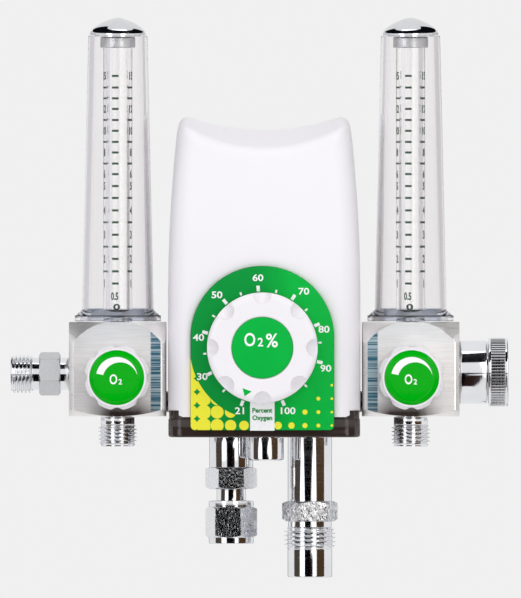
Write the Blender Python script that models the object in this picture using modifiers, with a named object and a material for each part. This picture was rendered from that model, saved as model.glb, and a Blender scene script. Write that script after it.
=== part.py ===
"""Wall-hung air and oxygen blender with two flowmeters.

Metres, +Z up. The unit faces -Y and hangs by a dovetail slide on its back. The origin is
the centre of the slide's flat back face, so the whole unit lies at negative Y. Every
separate piece of the real unit is one object.
"""

import math

import bmesh
import bpy
from mathutils import Matrix

# Fits: seats and running clearances
SEAT_GAP = 0.0003
RUNNING_GAP = 0.0003

# How far a cutter runs past the face that it opens, how near two places count as one, and the
# size that an axis is drawn at
CUT_OVER = 0.001
SAME_PLACE = 0.000001
AXIS_MARK = 0.01

# Facets round a large, a middling and a small turned piece
LARGE_SIDES = 32
MIDDLE_SIDES = 18
SMALL_SIDES = 12
QUARTER_TURN = (0, 30, 60, 90)

# Hexagons: the chamfer's angle, and the share of the distance across flats that it leaves flat
HEX_CHAMFER_ANGLE = 30.0
HEX_FLAT_SHARE = 0.98

# Wall slide, a male dovetail, and its two socket screws
SLIDE_WIDTH = 0.040
SLIDE_UNDERCUT = 0.004
SLIDE_HEIGHT = 0.064
SLIDE_DEPTH = 0.008
SLIDE_CHAMFER = 0.001
SLIDE_SCREW_SPACING = 0.042
SLIDE_SCREW_RADIUS = 0.0025
SLIDE_SCREW_HEAD_RADIUS = 0.0042
SLIDE_SCREW_HEAD_HEIGHT = 0.004
SLIDE_SCREW_SINK = 0.0008
SLIDE_SCREW_GRIP = 0.010
SOCKET_RADIUS = 0.0018
SOCKET_DEPTH = 0.002

# Back plate
PLATE_THICKNESS = 0.0025

# Front cover, a moulded shell. Its top is a saddle that slopes down from the back to the brow
COVER_HALF_WIDTH = 0.0355
COVER_TAPER = 0.0034
COVER_FRONT = 0.062
COVER_WALL = 0.0024
COVER_BOTTOM = -0.0431
COVER_TOP = 0.0634
COVER_TOP_RISE = 0.0061
COVER_BROW = 0.0559
COVER_BROW_RISE = 0.0100
COVER_BROW_RADIUS = 0.0035
COVER_EDGE_RADIUS = 0.009
COVER_FLAT_SHARES = (0.0, 0.33, 0.67)
COVER_EDGE_TURNS = (0, 22.5, 45, 67.5, 90)
COVER_HEIGHT_SHARES = (0.4, 0.75, 1.0)
COVER_BROW_SHARES = (0.33, 0.67, 1.0)
COVER_TOP_SHARES = (0.5, 1.0)
COVER_CORNER_RADIUS = 0.005
COVER_FOOT_RADIUS = 0.0024
COVER_BULGE = 0.0016
COVER_LEAN = 0.005

# Countersunk cover screws, one in each side, above the balance module's bore
COVER_SCREW_RISE = 0.006
COVER_SCREW_HEAD_RADIUS = 0.003
COVER_SCREW_RADIUS = 0.0015
COVER_SCREW_LENGTH = 0.009

# Manifold block: a skirt below the cover, a core inside it and a pad behind the dial panel
SKIRT_INSET = 0.0001
SKIRT_BOTTOM = -0.0506
SKIRT_EDGE_RADIUS = 0.006
SKIRT_ROUNDING = 0.0013
CORE_TOP = 0.036
CORE_EDGE_RADIUS = 0.008
PAD_MARGIN = 0.0015

# Dial panel, an arch
PANEL_X = -0.0007
PANEL_HALF_WIDTH = 0.0264
PANEL_ARCH_Z = -0.0139
PANEL_BOTTOM = -0.0482
PANEL_CORNER_RADIUS = 0.0016
PANEL_THICKNESS = 0.0024
PANEL_PROUD = 0.0006

# Mixing knob, a hollow cap with finger hollows round its front edge
MIX_Z = -0.0175
MIX_KNOB_RADIUS = 0.0204
MIX_KNOB_LENGTH = 0.021
MIX_KNOB_WALL = 0.0026
MIX_KNOB_ROUNDING = 0.0024
MIX_KNOB_LIFT = 0.0008
MIX_HOLLOWS = 8
MIX_HOLLOW_HALF_WIDTH = 0.0033
MIX_HOLLOW_REACH = 0.0041
MIX_HOLLOW_DEPTH = 0.0045
MIX_DISC_RADIUS = 0.0112
MIX_DISC_THICKNESS = 0.0016
MIX_DISC_PROUD = 0.0003

# Mixing valve: spindle, cartridge and gland
SPINDLE_RADIUS = 0.003
SPINDLE_GRIP = 0.011
CARTRIDGE_RADIUS = 0.008
CARTRIDGE_BORE = 0.0046
CARTRIDGE_LENGTH = 0.034
CARTRIDGE_FLOOR = 0.003
GLAND_THICKNESS = 0.003

# Balance module across the block: sleeves, diaphragm, spool and plugs
BALANCE_Z = 0.018
BALANCE_RADIUS = 0.0085
BALANCE_PLUG_LENGTH = 0.006
BALANCE_SLEEVE_WALL = 0.0022
BALANCE_SLEEVE_LENGTH = 0.020
BALANCE_DIAPHRAGM_THICKNESS = 0.001
BALANCE_SPOOL_RADIUS = 0.0018
BALANCE_SPOOL_PLATE = 0.005
BALANCE_SPOOL_TRAVEL = 0.0008
BALANCE_SPOOL_END = 0.0015

# Depth from the wall of the inlets' and the flowmeters' axes
INLET_DEPTH = 0.033
FLOW_DEPTH = 0.036

# Spigots that seat fittings in their ports
SPIGOT_RADIUS = 0.005
SPIGOT_LENGTH = 0.008

# Oxygen inlet, with a swivel nut. Heights run down from the block
OXYGEN_X = -0.0122
OXYGEN_PIPE_RADIUS = 0.00815
OXYGEN_PIPE_LENGTH = 0.0109
OXYGEN_HEX_CORNERS = 0.0192
OXYGEN_HEX_LENGTH = 0.0082
OXYGEN_NECK_RADIUS = 0.00545
OXYGEN_NECK_LENGTH = 0.0042
OXYGEN_BORE = 0.0026
NUT_COLLAR_RADIUS = 0.00835
NUT_COLLAR_LENGTH = 0.0022
NUT_HEX_CORNERS = 0.0194
NUT_HEX_LENGTH = 0.0116
NUT_HEX_TURN = -8.0
NUT_BORE = 0.00714
NUT_FLANGE_RADIUS = 0.0066
NUT_FLANGE_LENGTH = 0.0018

# Air inlet, with a male thread and a nose. Heights run down from the block
AIR_X = 0.0169
AIR_PIPE_RADIUS = 0.00825
AIR_PIPE_LENGTH = 0.0235
AIR_HEX_CORNERS = 0.0208
AIR_HEX_LENGTH = 0.0076
AIR_HEX_TURN = 8.0
AIR_NECK_RADIUS = 0.0081
AIR_NECK_LENGTH = 0.0023
AIR_THREAD_RADIUS = 0.0095
AIR_THREAD_LENGTH = 0.0077
AIR_NOSE_RADIUS = 0.0083
AIR_NOSE_LENGTH = 0.0107
AIR_BORE = 0.004
AIR_MOUTH_RADIUS = 0.0055
AIR_MOUTH_DEPTH = 0.012

# Filter and check valve in the upper bore of each inlet
FILTER_RADIUS = 0.0037
FILTER_LENGTH = 0.010
CHECK_VALVE_LENGTH = 0.005
CHECK_VALVE_RIM = 0.0015
CHECK_VALVE_SHOULDER = 0.003
CHECK_VALVE_TIP = 0.0011

# Alarm outlet
ALARM_X = 0.0007
ALARM_DEPTH = 0.0435
ALARM_RADIUS = 0.0066
ALARM_LENGTH = 0.0084
ALARM_ROUNDING = 0.0008
ALARM_BORE = 0.0035
ALARM_BORE_DEPTH = 0.006

# Flowmeters, one at each side
FLOW_BLOCK_GAP = 0.0008
FLOW_BLOCK_HALF_WIDTH = 0.0179
FLOW_BLOCK_TOP = -0.0081
FLOW_BLOCK_BOTTOM = -0.0429
FLOW_BLOCK_HALF_DEPTH = 0.018
FLOW_BLOCK_CHAMFER = 0.0014
FLOW_FACE_RADIUS = 0.0208
FLOW_FACE_SLOPE = 0.8
FLOW_FOOT_RADIUS = 0.0564
FLOW_FOOT_BEVEL = 0.0022

# Connector between the block's side and each flowmeter
CONNECTOR_Z = -0.0376
CONNECTOR_RADIUS = 0.0039
CONNECTOR_BORE = 0.0018
CONNECTOR_PORT_DEPTH = 0.007

# Flow valve: bonnet, stem, knob and its disc. Lengths run forwards from the block's face
VALVE_Z = -0.0285
BONNET_RADIUS = 0.0052
BONNET_DEPTH = 0.014
BONNET_FLANGE_RADIUS = 0.0075
BONNET_FLANGE_LENGTH = 0.0025
STEM_RADIUS = 0.0022
STEM_GRIP = 0.009
STEM_TIP_LENGTH = 0.005
STEM_TIP_RADIUS = 0.0007
FLOW_KNOB_RADIUS = 0.0121
FLOW_KNOB_NECK_RADIUS = 0.0108
FLOW_KNOB_LENGTH = 0.018
FLOW_KNOB_LIFT = 0.001
FLOW_KNOB_WALL = 0.0018
FLOW_KNOB_LOBES = 8
FLOW_KNOB_NOTCH_RADIUS = 0.0028
FLOW_KNOB_NOTCH_DEPTH = 0.0010
FLOW_KNOB_SKIRT = 0.010
FLOW_KNOB_SHOULDER = 0.004
FLOW_DISC_RADIUS = 0.0100
FLOW_DISC_DOME = 0.0010
FLOW_DISC_THICKNESS = 0.0012

# Graduated flow tube, its seal, float, top bushing, shroud and cap
TUBE_RADIUS = 0.0054
TUBE_BORE = 0.0036
TUBE_TOP = 0.0955
TUBE_SOCKET_DEPTH = 0.0035
TUBE_SEAL_THICKNESS = 0.0012
TUBE_SEAL_BORE = 0.0018
FLOAT_RADIUS = 0.0031
BUSHING_RADIUS = 0.0065
BUSHING_LENGTH = 0.0038
BUSHING_ROOF = 0.0012
SHROUD_FOOT_RADIUS = 0.0160
SHROUD_FOOT_HEIGHT = 0.0017
SHROUD_CONE_HEIGHT = 0.0026
SHROUD_BASE_RADIUS = 0.0133
SHROUD_TOP_RADIUS = 0.0110
SHROUD_WALL = 0.0018
SHROUD_RISE = 0.0023
CAP_RADIUS = 0.0105
CAP_HEIGHT = 0.0065
CAP_SPIGOT_LENGTH = 0.0025

# Threaded outlet below each flowmeter
OUTLET_NECK_RADIUS = 0.0063
OUTLET_NECK_LENGTH = 0.0027
OUTLET_SPIGOT_RADIUS = 0.0053
OUTLET_THREAD_RADIUS = 0.00714
OUTLET_THREAD_LENGTH = 0.0083
OUTLET_BORE = 0.0032

# Left auxiliary outlet: hexagon and male thread
AUX_Z = -0.0273
AUX_NECK_RADIUS = 0.006
AUX_NECK_LENGTH = 0.003
AUX_HEX_CORNERS = 0.0180
AUX_HEX_LENGTH = 0.0079
AUX_THREAD_NECK_LENGTH = 0.0024
AUX_THREAD_RADIUS = 0.00714
AUX_THREAD_LENGTH = 0.0081

# Right auxiliary outlet: barrel and knurled collar
BARREL_Z = -0.0267
BARREL_RADIUS = 0.01175
BARREL_LENGTH = 0.0100
BARREL_NECK_RADIUS = 0.0085
BARREL_NECK_LENGTH = 0.0065
BARREL_SOCKET_RADIUS = 0.0055
BARREL_SOCKET_DEPTH = 0.012
BARREL_LIP_RADIUS = 0.0093
BARREL_LIP_LENGTH = 0.0010
COLLAR_RADIUS = 0.0127
COLLAR_LENGTH = 0.0076
COLLAR_CHAMFER = 0.0006

# Heights and depths that follow from the sizes above
BACK_Y = -(SLIDE_DEPTH + SEAT_GAP)
PLATE_FRONT_Y = BACK_Y - PLATE_THICKNESS
SEAT_Y = -(COVER_FRONT + PANEL_PROUD - PANEL_THICKNESS)
PANEL_FRONT_Y = SEAT_Y - PANEL_THICKNESS
PAD_FRONT_Y = SEAT_Y + SEAT_GAP
SKIRT_TOP = COVER_BOTTOM - SEAT_GAP
SKIRT_HALF_WIDTH = COVER_HALF_WIDTH - SKIRT_INSET
COVER_SCREW_Z = BALANCE_Z + BALANCE_RADIUS + COVER_SCREW_RISE
FLOW_X = COVER_HALF_WIDTH + FLOW_BLOCK_GAP + FLOW_BLOCK_HALF_WIDTH
FLOW_FACE_Y = -(FLOW_DEPTH + FLOW_BLOCK_HALF_DEPTH)
FITTING_TOP = SKIRT_BOTTOM - SEAT_GAP
OUTLET_TOP = FLOW_BLOCK_BOTTOM - SEAT_GAP
SHROUD_SEAT = FLOW_BLOCK_TOP + SEAT_GAP
SHROUD_TOP = TUBE_TOP + SHROUD_RISE
TUBE_SOCKET_FLOOR = FLOW_BLOCK_TOP - TUBE_SOCKET_DEPTH
BALANCE_DEPTH = INLET_DEPTH

# Where a piece's own +Z points, as a rotation in XYZ order
AXES = {
    "+Z": (0.0, 0.0, 0.0),
    "-Z": (math.pi, 0.0, 0.0),
    "+Y": (-math.pi / 2, 0.0, 0.0),
    "-Y": (math.pi / 2, 0.0, 0.0),
    "+X": (0.0, math.pi / 2, 0.0),
    "-X": (0.0, -math.pi / 2, 0.0),
}
SIDES = (("left", -1), ("right", 1))


def clear_scene():
    for thing in list(bpy.data.objects):
        bpy.data.objects.remove(thing, do_unlink=True)


def new_collection(name):
    collection = bpy.data.collections.new(name)
    bpy.context.scene.collection.children.link(collection)
    return collection


def linear(hex_colour):
    channels = [int(hex_colour[i : i + 2], 16) / 255 for i in (1, 3, 5)]
    return [c / 12.92 if c <= 0.04045 else ((c + 0.055) / 1.055) ** 2.4 for c in channels] + [1.0]


def new_material(name, hex_colour, roughness, metallic=0.0, transmission=0.0):
    material = bpy.data.materials.new(name)
    material.use_nodes = True
    shader = material.node_tree.nodes["Principled BSDF"]
    shader.inputs["Base Color"].default_value = linear(hex_colour)
    shader.inputs["Roughness"].default_value = roughness
    shader.inputs["Metallic"].default_value = metallic
    shader.inputs["Transmission Weight"].default_value = transmission
    material.diffuse_color = linear(hex_colour)
    return material


class Workshop:
    """The collections, the materials and the empties that every piece is placed with."""

    def __init__(self):
        self.pieces = new_collection("air_oxygen_blender")
        self.cutters = new_collection("cutters")
        self.materials = {
            "white_plastic": new_material("white moulded plastic", "#ECEAEE", 0.30),
            "dark_plastic": new_material("dark glossy plastic", "#3A2E2C", 0.18),
            "green_plastic": new_material("green dial face", "#00A03C", 0.25),
            "chrome": new_material("chromed brass", "#D9DADC", 0.08, 1.0),
            "aluminium": new_material("brushed aluminium", "#C4C5C8", 0.32, 1.0),
            "brass": new_material("machined brass", "#B99A55", 0.30, 1.0),
            "steel": new_material("stainless steel", "#9FA1A5", 0.25, 1.0),
            "clear": new_material("clear polycarbonate", "#F4F7F8", 0.05, 0.0, 0.9),
            "rubber": new_material("black rubber", "#1B1B1C", 0.60),
            "sintered": new_material("sintered bronze", "#9C7A4B", 0.70, 1.0),
        }

    def empty(self, name, location, parent=None):
        holder = bpy.data.objects.new(name, None)
        holder.location = location
        holder.empty_display_size = AXIS_MARK
        holder.parent = parent
        self.pieces.objects.link(holder)
        return holder

    def add(self, name, mesh, material=None, parent=None, at=(0, 0, 0), axis="+Z", turn=0.0):
        """Puts a mesh in the scene as a piece, or as a cutter if it has no material."""
        thing = bpy.data.objects.new(name, mesh)
        thing.location = at
        thing.rotation_euler = AXES[axis]
        thing.parent = parent
        if turn:
            mesh.transform(rotation_about_z(turn))
        if material is None:
            self.cutters.objects.link(thing)
            thing.hide_render = True
            thing.display_type = "WIRE"
        else:
            self.pieces.objects.link(thing)
            mesh.materials.append(self.materials[material])
        return thing


def rotation_about_z(degrees):
    return Matrix.Rotation(math.radians(degrees), 4, "Z")


def mesh_from(work):
    mesh = bpy.data.meshes.new("mesh")
    work.to_mesh(mesh)
    work.free()
    return mesh


def turned_mesh(profile, sides, closed=False):
    """A turned solid. The profile (radius, height) runs down the outer side, top to bottom."""
    mesh = bpy.data.meshes.new("profile")
    points = [(radius, 0.0, height) for radius, height in profile]
    edges = [(i, i + 1) for i in range(len(points) - 1)]
    if closed:
        edges.append((len(points) - 1, 0))
    mesh.from_pydata(points, edges, [])
    lathe = bpy.data.objects.new("lathe", mesh)
    bpy.context.scene.collection.objects.link(lathe)
    screw = lathe.modifiers.new("turn", "SCREW")
    screw.axis = "Z"
    screw.angle = math.tau
    screw.steps = sides
    screw.render_steps = sides
    screw.use_merge_vertices = True
    screw.merge_threshold = 0.00001
    solid = applied(lathe)
    solid.shade_smooth()
    solid.set_sharp_from_angle(angle=math.radians(35))
    return solid


def applied(thing):
    """The thing's evaluated mesh. The thing itself is removed."""
    graph = bpy.context.evaluated_depsgraph_get()
    mesh = bpy.data.meshes.new_from_object(thing.evaluated_get(graph))
    old = thing.data
    bpy.data.objects.remove(thing, do_unlink=True)
    if isinstance(old, bpy.types.Curve):
        bpy.data.curves.remove(old)
    return mesh


def rod_mesh(radius, bottom, top, sides):
    return turned_mesh([(0, top), (radius, top), (radius, bottom), (0, bottom)], sides)


def tube_mesh(radius, bore, bottom, top, sides):
    return turned_mesh([(radius, top), (radius, bottom), (bore, bottom), (bore, top)], sides, closed=True)


def box_mesh(low, high, bevel=0.0, segments=1, edges=None):
    """A box between two corners. Bevels the edges that the test picks, or all of them."""
    work = bmesh.new()
    bmesh.ops.create_cube(work, size=1.0)
    for vertex in work.verts:
        for i in range(3):
            middle = (low[i] + high[i]) / 2
            vertex.co[i] = middle + vertex.co[i] * (high[i] - low[i])
    if bevel:
        picked = [edge for edge in work.edges if edges is None or edges(edge)]
        bmesh.ops.bevel(
            work, geom=picked, offset=bevel, segments=segments, profile=0.5, affect="EDGES"
        )
    return mesh_from(work)


def prism_mesh(outline, bottom, top):
    """A flat outline of (x, y) points, extruded along Z."""
    curve = bpy.data.curves.new("outline", "CURVE")
    curve.dimensions = "2D"
    curve.fill_mode = "BOTH"
    curve.extrude = (top - bottom) / 2
    spline = curve.splines.new("POLY")
    spline.points.add(len(outline) - 1)
    for point, (x, y) in zip(spline.points, outline):
        point.co = (x, y, 0.0, 1.0)
    spline.use_cyclic_u = True
    thing = bpy.data.objects.new("outline", curve)
    bpy.context.scene.collection.objects.link(thing)
    work = bmesh.new()
    work.from_mesh(applied(thing))
    bmesh.ops.remove_doubles(work, verts=work.verts, dist=SAME_PLACE)
    bmesh.ops.recalc_face_normals(work, faces=work.faces)
    bmesh.ops.translate(work, verts=work.verts, vec=(0, 0, (top + bottom) / 2))
    return mesh_from(work)


def hexagon_mesh(corners, bottom, top, turn=0.0):
    """A hexagon bar with both its ends chamfered, as a turned nut is. Unturned, two corners lie on X."""
    work = bmesh.new()
    bmesh.ops.create_cone(
        work, cap_ends=True, segments=6, radius1=corners / 2, radius2=corners / 2, depth=top - bottom
    )
    bmesh.ops.translate(work, verts=work.verts, vec=(0, 0, (top + bottom) / 2))
    bar = bpy.data.objects.new("bar", mesh_from(work))
    bar.data.transform(rotation_about_z(30 + turn))
    bpy.context.scene.collection.objects.link(bar)
    face = corners / 2 * math.cos(math.pi / 6) * HEX_FLAT_SHARE
    outer = corners / 2 + CUT_OVER
    drop = (outer - face) * math.tan(math.radians(HEX_CHAMFER_ANGLE))
    chamfer_profile = [
        (0, top),
        (face, top),
        (outer, top - drop),
        (outer, bottom + drop),
        (face, bottom),
        (0, bottom),
    ]
    chamfer = bpy.data.objects.new("chamfer", turned_mesh(chamfer_profile, MIDDLE_SIDES))
    chamfer.data.transform(rotation_about_z(180 / MIDDLE_SIDES))
    bpy.context.scene.collection.objects.link(chamfer)
    common = bar.modifiers.new("chamfer", "BOOLEAN")
    common.operation = "INTERSECT"
    common.object = chamfer
    mesh = applied(bar)
    bpy.data.objects.remove(chamfer, do_unlink=True)
    return mesh


def combine(thing, other, operation="DIFFERENCE"):
    boolean = thing.modifiers.new(operation.lower(), "BOOLEAN")
    boolean.operation = operation
    boolean.object = other


def arc_points(centre, radius, start, end, steps):
    """Points on an arc, in degrees, both ends included."""
    angles = [math.radians(start + (end - start) * i / steps) for i in range(steps + 1)]
    return [(centre[0] + radius * math.cos(a), centre[1] + radius * math.sin(a)) for a in angles]


def arch_outline(half_width, arch_z, bottom, corner, steps=24):
    """An arch with rounded lower corners, anticlockwise from its lower left."""
    lower_left = arc_points((-half_width + corner, bottom + corner), corner, 180, 270, 4)
    lower_right = arc_points((half_width - corner, bottom + corner), corner, 270, 360, 4)
    arch = arc_points((0, arch_z), half_width, 0, 180, steps)
    return lower_left + lower_right + arch


def cover_half_width(z):
    """The cover tapers gently above z = 0."""
    return COVER_HALF_WIDTH - COVER_TAPER * max(0.0, z / COVER_TOP) ** 2


def rounding(distance_inside, radius):
    """How far a quarter-round edge falls back, this far in from the side."""
    if distance_inside >= radius:
        return 0.0
    return radius - math.sqrt(max(0.0, radius**2 - (radius - distance_inside) ** 2))


def cover_depth(x, z, inset):
    """Depth of the cover's front from the wall, bulged across, rounded at its edges and leaning back."""
    half = COVER_HALF_WIDTH - inset
    radius = COVER_EDGE_RADIUS - inset
    bulge = COVER_BULGE * (x / COVER_HALF_WIDTH) ** 2
    lean = COVER_LEAN * max(0.0, z / COVER_BROW) ** 2
    return COVER_FRONT - inset - bulge - lean - rounding(half - abs(x), radius)


def cover_stations(inset):
    """Places across the cover: close together at the rounded edges, wide apart between them."""
    half = COVER_HALF_WIDTH - inset
    radius = COVER_EDGE_RADIUS - inset
    flat = half - radius
    right = [flat * share for share in COVER_FLAT_SHARES]
    right += [flat + radius * math.sin(math.radians(a)) for a in COVER_EDGE_TURNS]
    return [-x for x in reversed(right[1:])] + right


def cover_slice(x, inset, back_y, bottom):
    """One slice of the cover: (y, z) points up its front, over the brow and back along its top."""
    half = COVER_HALF_WIDTH - inset
    across = (x / COVER_HALF_WIDTH) ** 2
    fall = rounding(half - abs(x), COVER_CORNER_RADIUS)
    top = COVER_TOP + COVER_TOP_RISE * across - fall - inset
    brow = COVER_BROW + COVER_BROW_RISE * across - fall - inset
    foot = bottom + rounding(half - abs(x), COVER_FOOT_RADIUS)
    radius = COVER_BROW_RADIUS
    lower = brow - radius
    heights = [foot, 0.0] + [lower * share for share in COVER_HEIGHT_SHARES]
    front = [(-cover_depth(x, z, inset), z) for z in heights]
    start = front[-1]
    corner = (-cover_depth(x, brow, inset), brow)
    slope = (top - corner[1]) / (BACK_Y - corner[0])
    reach = radius / math.hypot(1, slope)
    end = (corner[0] + reach, corner[1] + reach * slope)
    for t in COVER_BROW_SHARES:
        weights = ((1 - t) ** 2, 2 * t * (1 - t), t**2)
        front.append(tuple(sum(w * p[i] for w, p in zip(weights, (start, corner, end))) for i in (0, 1)))
    for t in COVER_TOP_SHARES:
        y = end[0] + (back_y - end[0]) * t
        front.append((y, corner[1] + (y - corner[0]) * slope))
    return front


def cover_form(inset, back_y, bottom):
    """The solid form of the cover, or of its hollow if it has an inset: a loft of slices across X."""
    work = bmesh.new()
    fronts = []
    backs = []
    for x in cover_stations(inset):
        points = cover_slice(x, inset, back_y, bottom)
        widths = [x * (cover_half_width(z) - inset) / (COVER_HALF_WIDTH - inset) for _, z in points]
        fronts.append([work.verts.new((w, y, z)) for w, (y, z) in zip(widths, points)])
        backs.append([work.verts.new((w, back_y, z)) for w, (_, z) in zip(widths, points[:-1])])
        backs[-1].append(fronts[-1][-1])
    levels = range(len(fronts[0]) - 1)
    for i in range(len(fronts) - 1):
        for k in levels:
            work.faces.new((fronts[i][k], fronts[i + 1][k], fronts[i + 1][k + 1], fronts[i][k + 1]))
            work.faces.new((backs[i + 1][k], backs[i][k], backs[i][k + 1], backs[i + 1][k + 1]))
        work.faces.new((fronts[i + 1][0], fronts[i][0], backs[i][0], backs[i + 1][0]))
    for i, flip in ((0, 1), (-1, -1)):
        for k in levels:
            ladder = [backs[i][k], fronts[i][k], fronts[i][k + 1]]
            if backs[i][k + 1] is not fronts[i][k + 1]:
                ladder.append(backs[i][k + 1])
            work.faces.new(ladder[::flip])
    bmesh.ops.recalc_face_normals(work, faces=work.faces)
    mesh = mesh_from(work)
    mesh.shade_smooth()
    mesh.set_sharp_from_angle(angle=math.radians(35))
    return mesh


def core_half_width():
    return cover_half_width(CORE_TOP) - COVER_WALL - 2 * SEAT_GAP


def core_front_y():
    lean = COVER_LEAN * max(0.0, CORE_TOP / COVER_BROW) ** 2
    return -(COVER_FRONT - COVER_WALL - COVER_BULGE - lean - 2 * SEAT_GAP)


def slide_screws(shop, root):
    """The two socket screws through the slide, and one cutter for the holes of both."""
    head_y = -SLIDE_SCREW_SINK
    length = SLIDE_DEPTH + PLATE_THICKNESS + SLIDE_SCREW_GRIP
    cutters = []
    for name, sign in (("upper", 1), ("lower", -1)):
        at = (0, head_y, sign * SLIDE_SCREW_SPACING / 2)
        profile = [
            (0, 0),
            (SLIDE_SCREW_HEAD_RADIUS, 0),
            (SLIDE_SCREW_HEAD_RADIUS, -SLIDE_SCREW_HEAD_HEIGHT),
            (SLIDE_SCREW_RADIUS, -SLIDE_SCREW_HEAD_HEIGHT),
            (SLIDE_SCREW_RADIUS, -length),
            (0, -length),
        ]
        mesh = turned_mesh(profile, SMALL_SIDES)
        screw = shop.add(f"slide_screw_{name}", mesh, "steel", root, at, "+Y")
        work = bmesh.new()
        bmesh.ops.create_cone(
            work,
            cap_ends=True,
            segments=6,
            radius1=SOCKET_RADIUS,
            radius2=SOCKET_RADIUS,
            depth=2 * SOCKET_DEPTH,
        )
        socket = shop.add(f"slide_screw_{name}_socket", mesh_from(work), None, root, at, "+Y")
        combine(screw, socket)
        hole_profile = [
            (0, 2 * SLIDE_SCREW_SINK),
            (SLIDE_SCREW_HEAD_RADIUS + RUNNING_GAP, 2 * SLIDE_SCREW_SINK),
            (SLIDE_SCREW_HEAD_RADIUS + RUNNING_GAP, -SLIDE_SCREW_HEAD_HEIGHT - SEAT_GAP),
            (SLIDE_SCREW_RADIUS + RUNNING_GAP, -SLIDE_SCREW_HEAD_HEIGHT - SEAT_GAP),
            (SLIDE_SCREW_RADIUS + RUNNING_GAP, -length - SEAT_GAP),
            (0, -length - SEAT_GAP),
        ]
        hole = turned_mesh(hole_profile, SMALL_SIDES)
        cutters.append(shop.add(f"slide_screw_{name}_hole", hole, None, root, at, "+Y"))
    return cutters


def wall_slide(shop, root, screw_holes):
    half = SLIDE_WIDTH / 2
    outline = [
        (-half, 0),
        (-half + SLIDE_UNDERCUT, -SLIDE_DEPTH),
        (half - SLIDE_UNDERCUT, -SLIDE_DEPTH),
        (half, 0),
    ]
    slide = shop.add(
        "wall_slide", prism_mesh(outline, -SLIDE_HEIGHT / 2, SLIDE_HEIGHT / 2), "aluminium", root
    )
    bevel = slide.modifiers.new("chamfer", "BEVEL")
    bevel.width = SLIDE_CHAMFER
    bevel.segments = 1
    bevel.limit_method = "ANGLE"
    for hole in screw_holes:
        combine(slide, hole)


def back_plate(shop, root, screw_holes):
    """A slice of the cover's hollow, at its back."""
    work = bmesh.new()
    work.from_mesh(cover_form(COVER_WALL + SEAT_GAP, BACK_Y, SKIRT_TOP + SEAT_GAP))
    everything = work.verts[:] + work.edges[:] + work.faces[:]
    cut = bmesh.ops.bisect_plane(
        work, geom=everything, plane_co=(0, PLATE_FRONT_Y, 0), plane_no=(0, -1, 0), clear_outer=True
    )
    rim = [item for item in cut["geom_cut"] if isinstance(item, bmesh.types.BMEdge)]
    bmesh.ops.contextual_create(work, geom=rim)
    plate = shop.add("back_plate", mesh_from(work), "aluminium", root)
    for hole in screw_holes:
        combine(plate, hole)


def cover_screws(shop, root):
    """A countersunk screw in each side of the cover, and the cutters for their holes."""
    cutters = []
    for name, sign in SIDES:
        at = (sign * cover_half_width(COVER_SCREW_Z), -BALANCE_DEPTH, COVER_SCREW_Z)
        axis = "+X" if sign > 0 else "-X"
        head = COVER_SCREW_HEAD_RADIUS
        slope = head - COVER_SCREW_RADIUS
        profile = [
            (0, -SEAT_GAP),
            (head, -SEAT_GAP),
            (COVER_SCREW_RADIUS, -SEAT_GAP - slope),
            (COVER_SCREW_RADIUS, -COVER_SCREW_LENGTH),
            (0, -COVER_SCREW_LENGTH),
        ]
        shop.add(f"cover_screw_{name}", turned_mesh(profile, SMALL_SIDES), "steel", root, at, axis)
        wide = head + RUNNING_GAP
        narrow = COVER_SCREW_RADIUS + RUNNING_GAP
        hole_profile = [
            (0, COVER_WALL),
            (wide, COVER_WALL),
            (wide, -SEAT_GAP),
            (narrow, -SEAT_GAP - slope),
            (narrow, -COVER_SCREW_LENGTH - SEAT_GAP),
            (0, -COVER_SCREW_LENGTH - SEAT_GAP),
        ]
        hole = turned_mesh(hole_profile, SMALL_SIDES)
        cutters.append(shop.add(f"cover_screw_{name}_hole", hole, None, root, at, axis))
    return cutters


def panel_opening(shop, root, name, margin, back_y, front_y):
    """The panel's arch, widened by a margin, as a cutter through the given depths."""
    outline = arch_outline(
        PANEL_HALF_WIDTH + margin, PANEL_ARCH_Z, PANEL_BOTTOM - margin, PANEL_CORNER_RADIUS + margin
    )
    return shop.add(name, prism_mesh(outline, -back_y, -front_y), None, root, (PANEL_X, 0, 0), "-Y")


def front_cover(shop, root, screw_holes):
    cover = shop.add("front_cover", cover_form(0.0, BACK_Y, COVER_BOTTOM), "white_plastic", root)
    hollow_form = cover_form(COVER_WALL, BACK_Y + COVER_WALL, COVER_BOTTOM - 3 * COVER_FOOT_RADIUS)
    combine(cover, shop.add("cover_hollow", hollow_form, None, root))
    opening = panel_opening(
        shop,
        root,
        "cover_opening",
        SEAT_GAP,
        core_front_y() + COVER_EDGE_RADIUS,
        -COVER_FRONT - COVER_WALL,
    )
    combine(cover, opening)
    for hole in screw_holes:
        combine(cover, hole)
    for name, sign in SIDES:
        radius = CONNECTOR_RADIUS + RUNNING_GAP
        mesh = rod_mesh(radius, 0, 2 * COVER_HALF_WIDTH, SMALL_SIDES)
        at = (0, -FLOW_DEPTH, CONNECTOR_Z)
        axis = "+X" if sign > 0 else "-X"
        combine(cover, shop.add(f"cover_connector_hole_{name}", mesh, None, root, at, axis))


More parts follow.
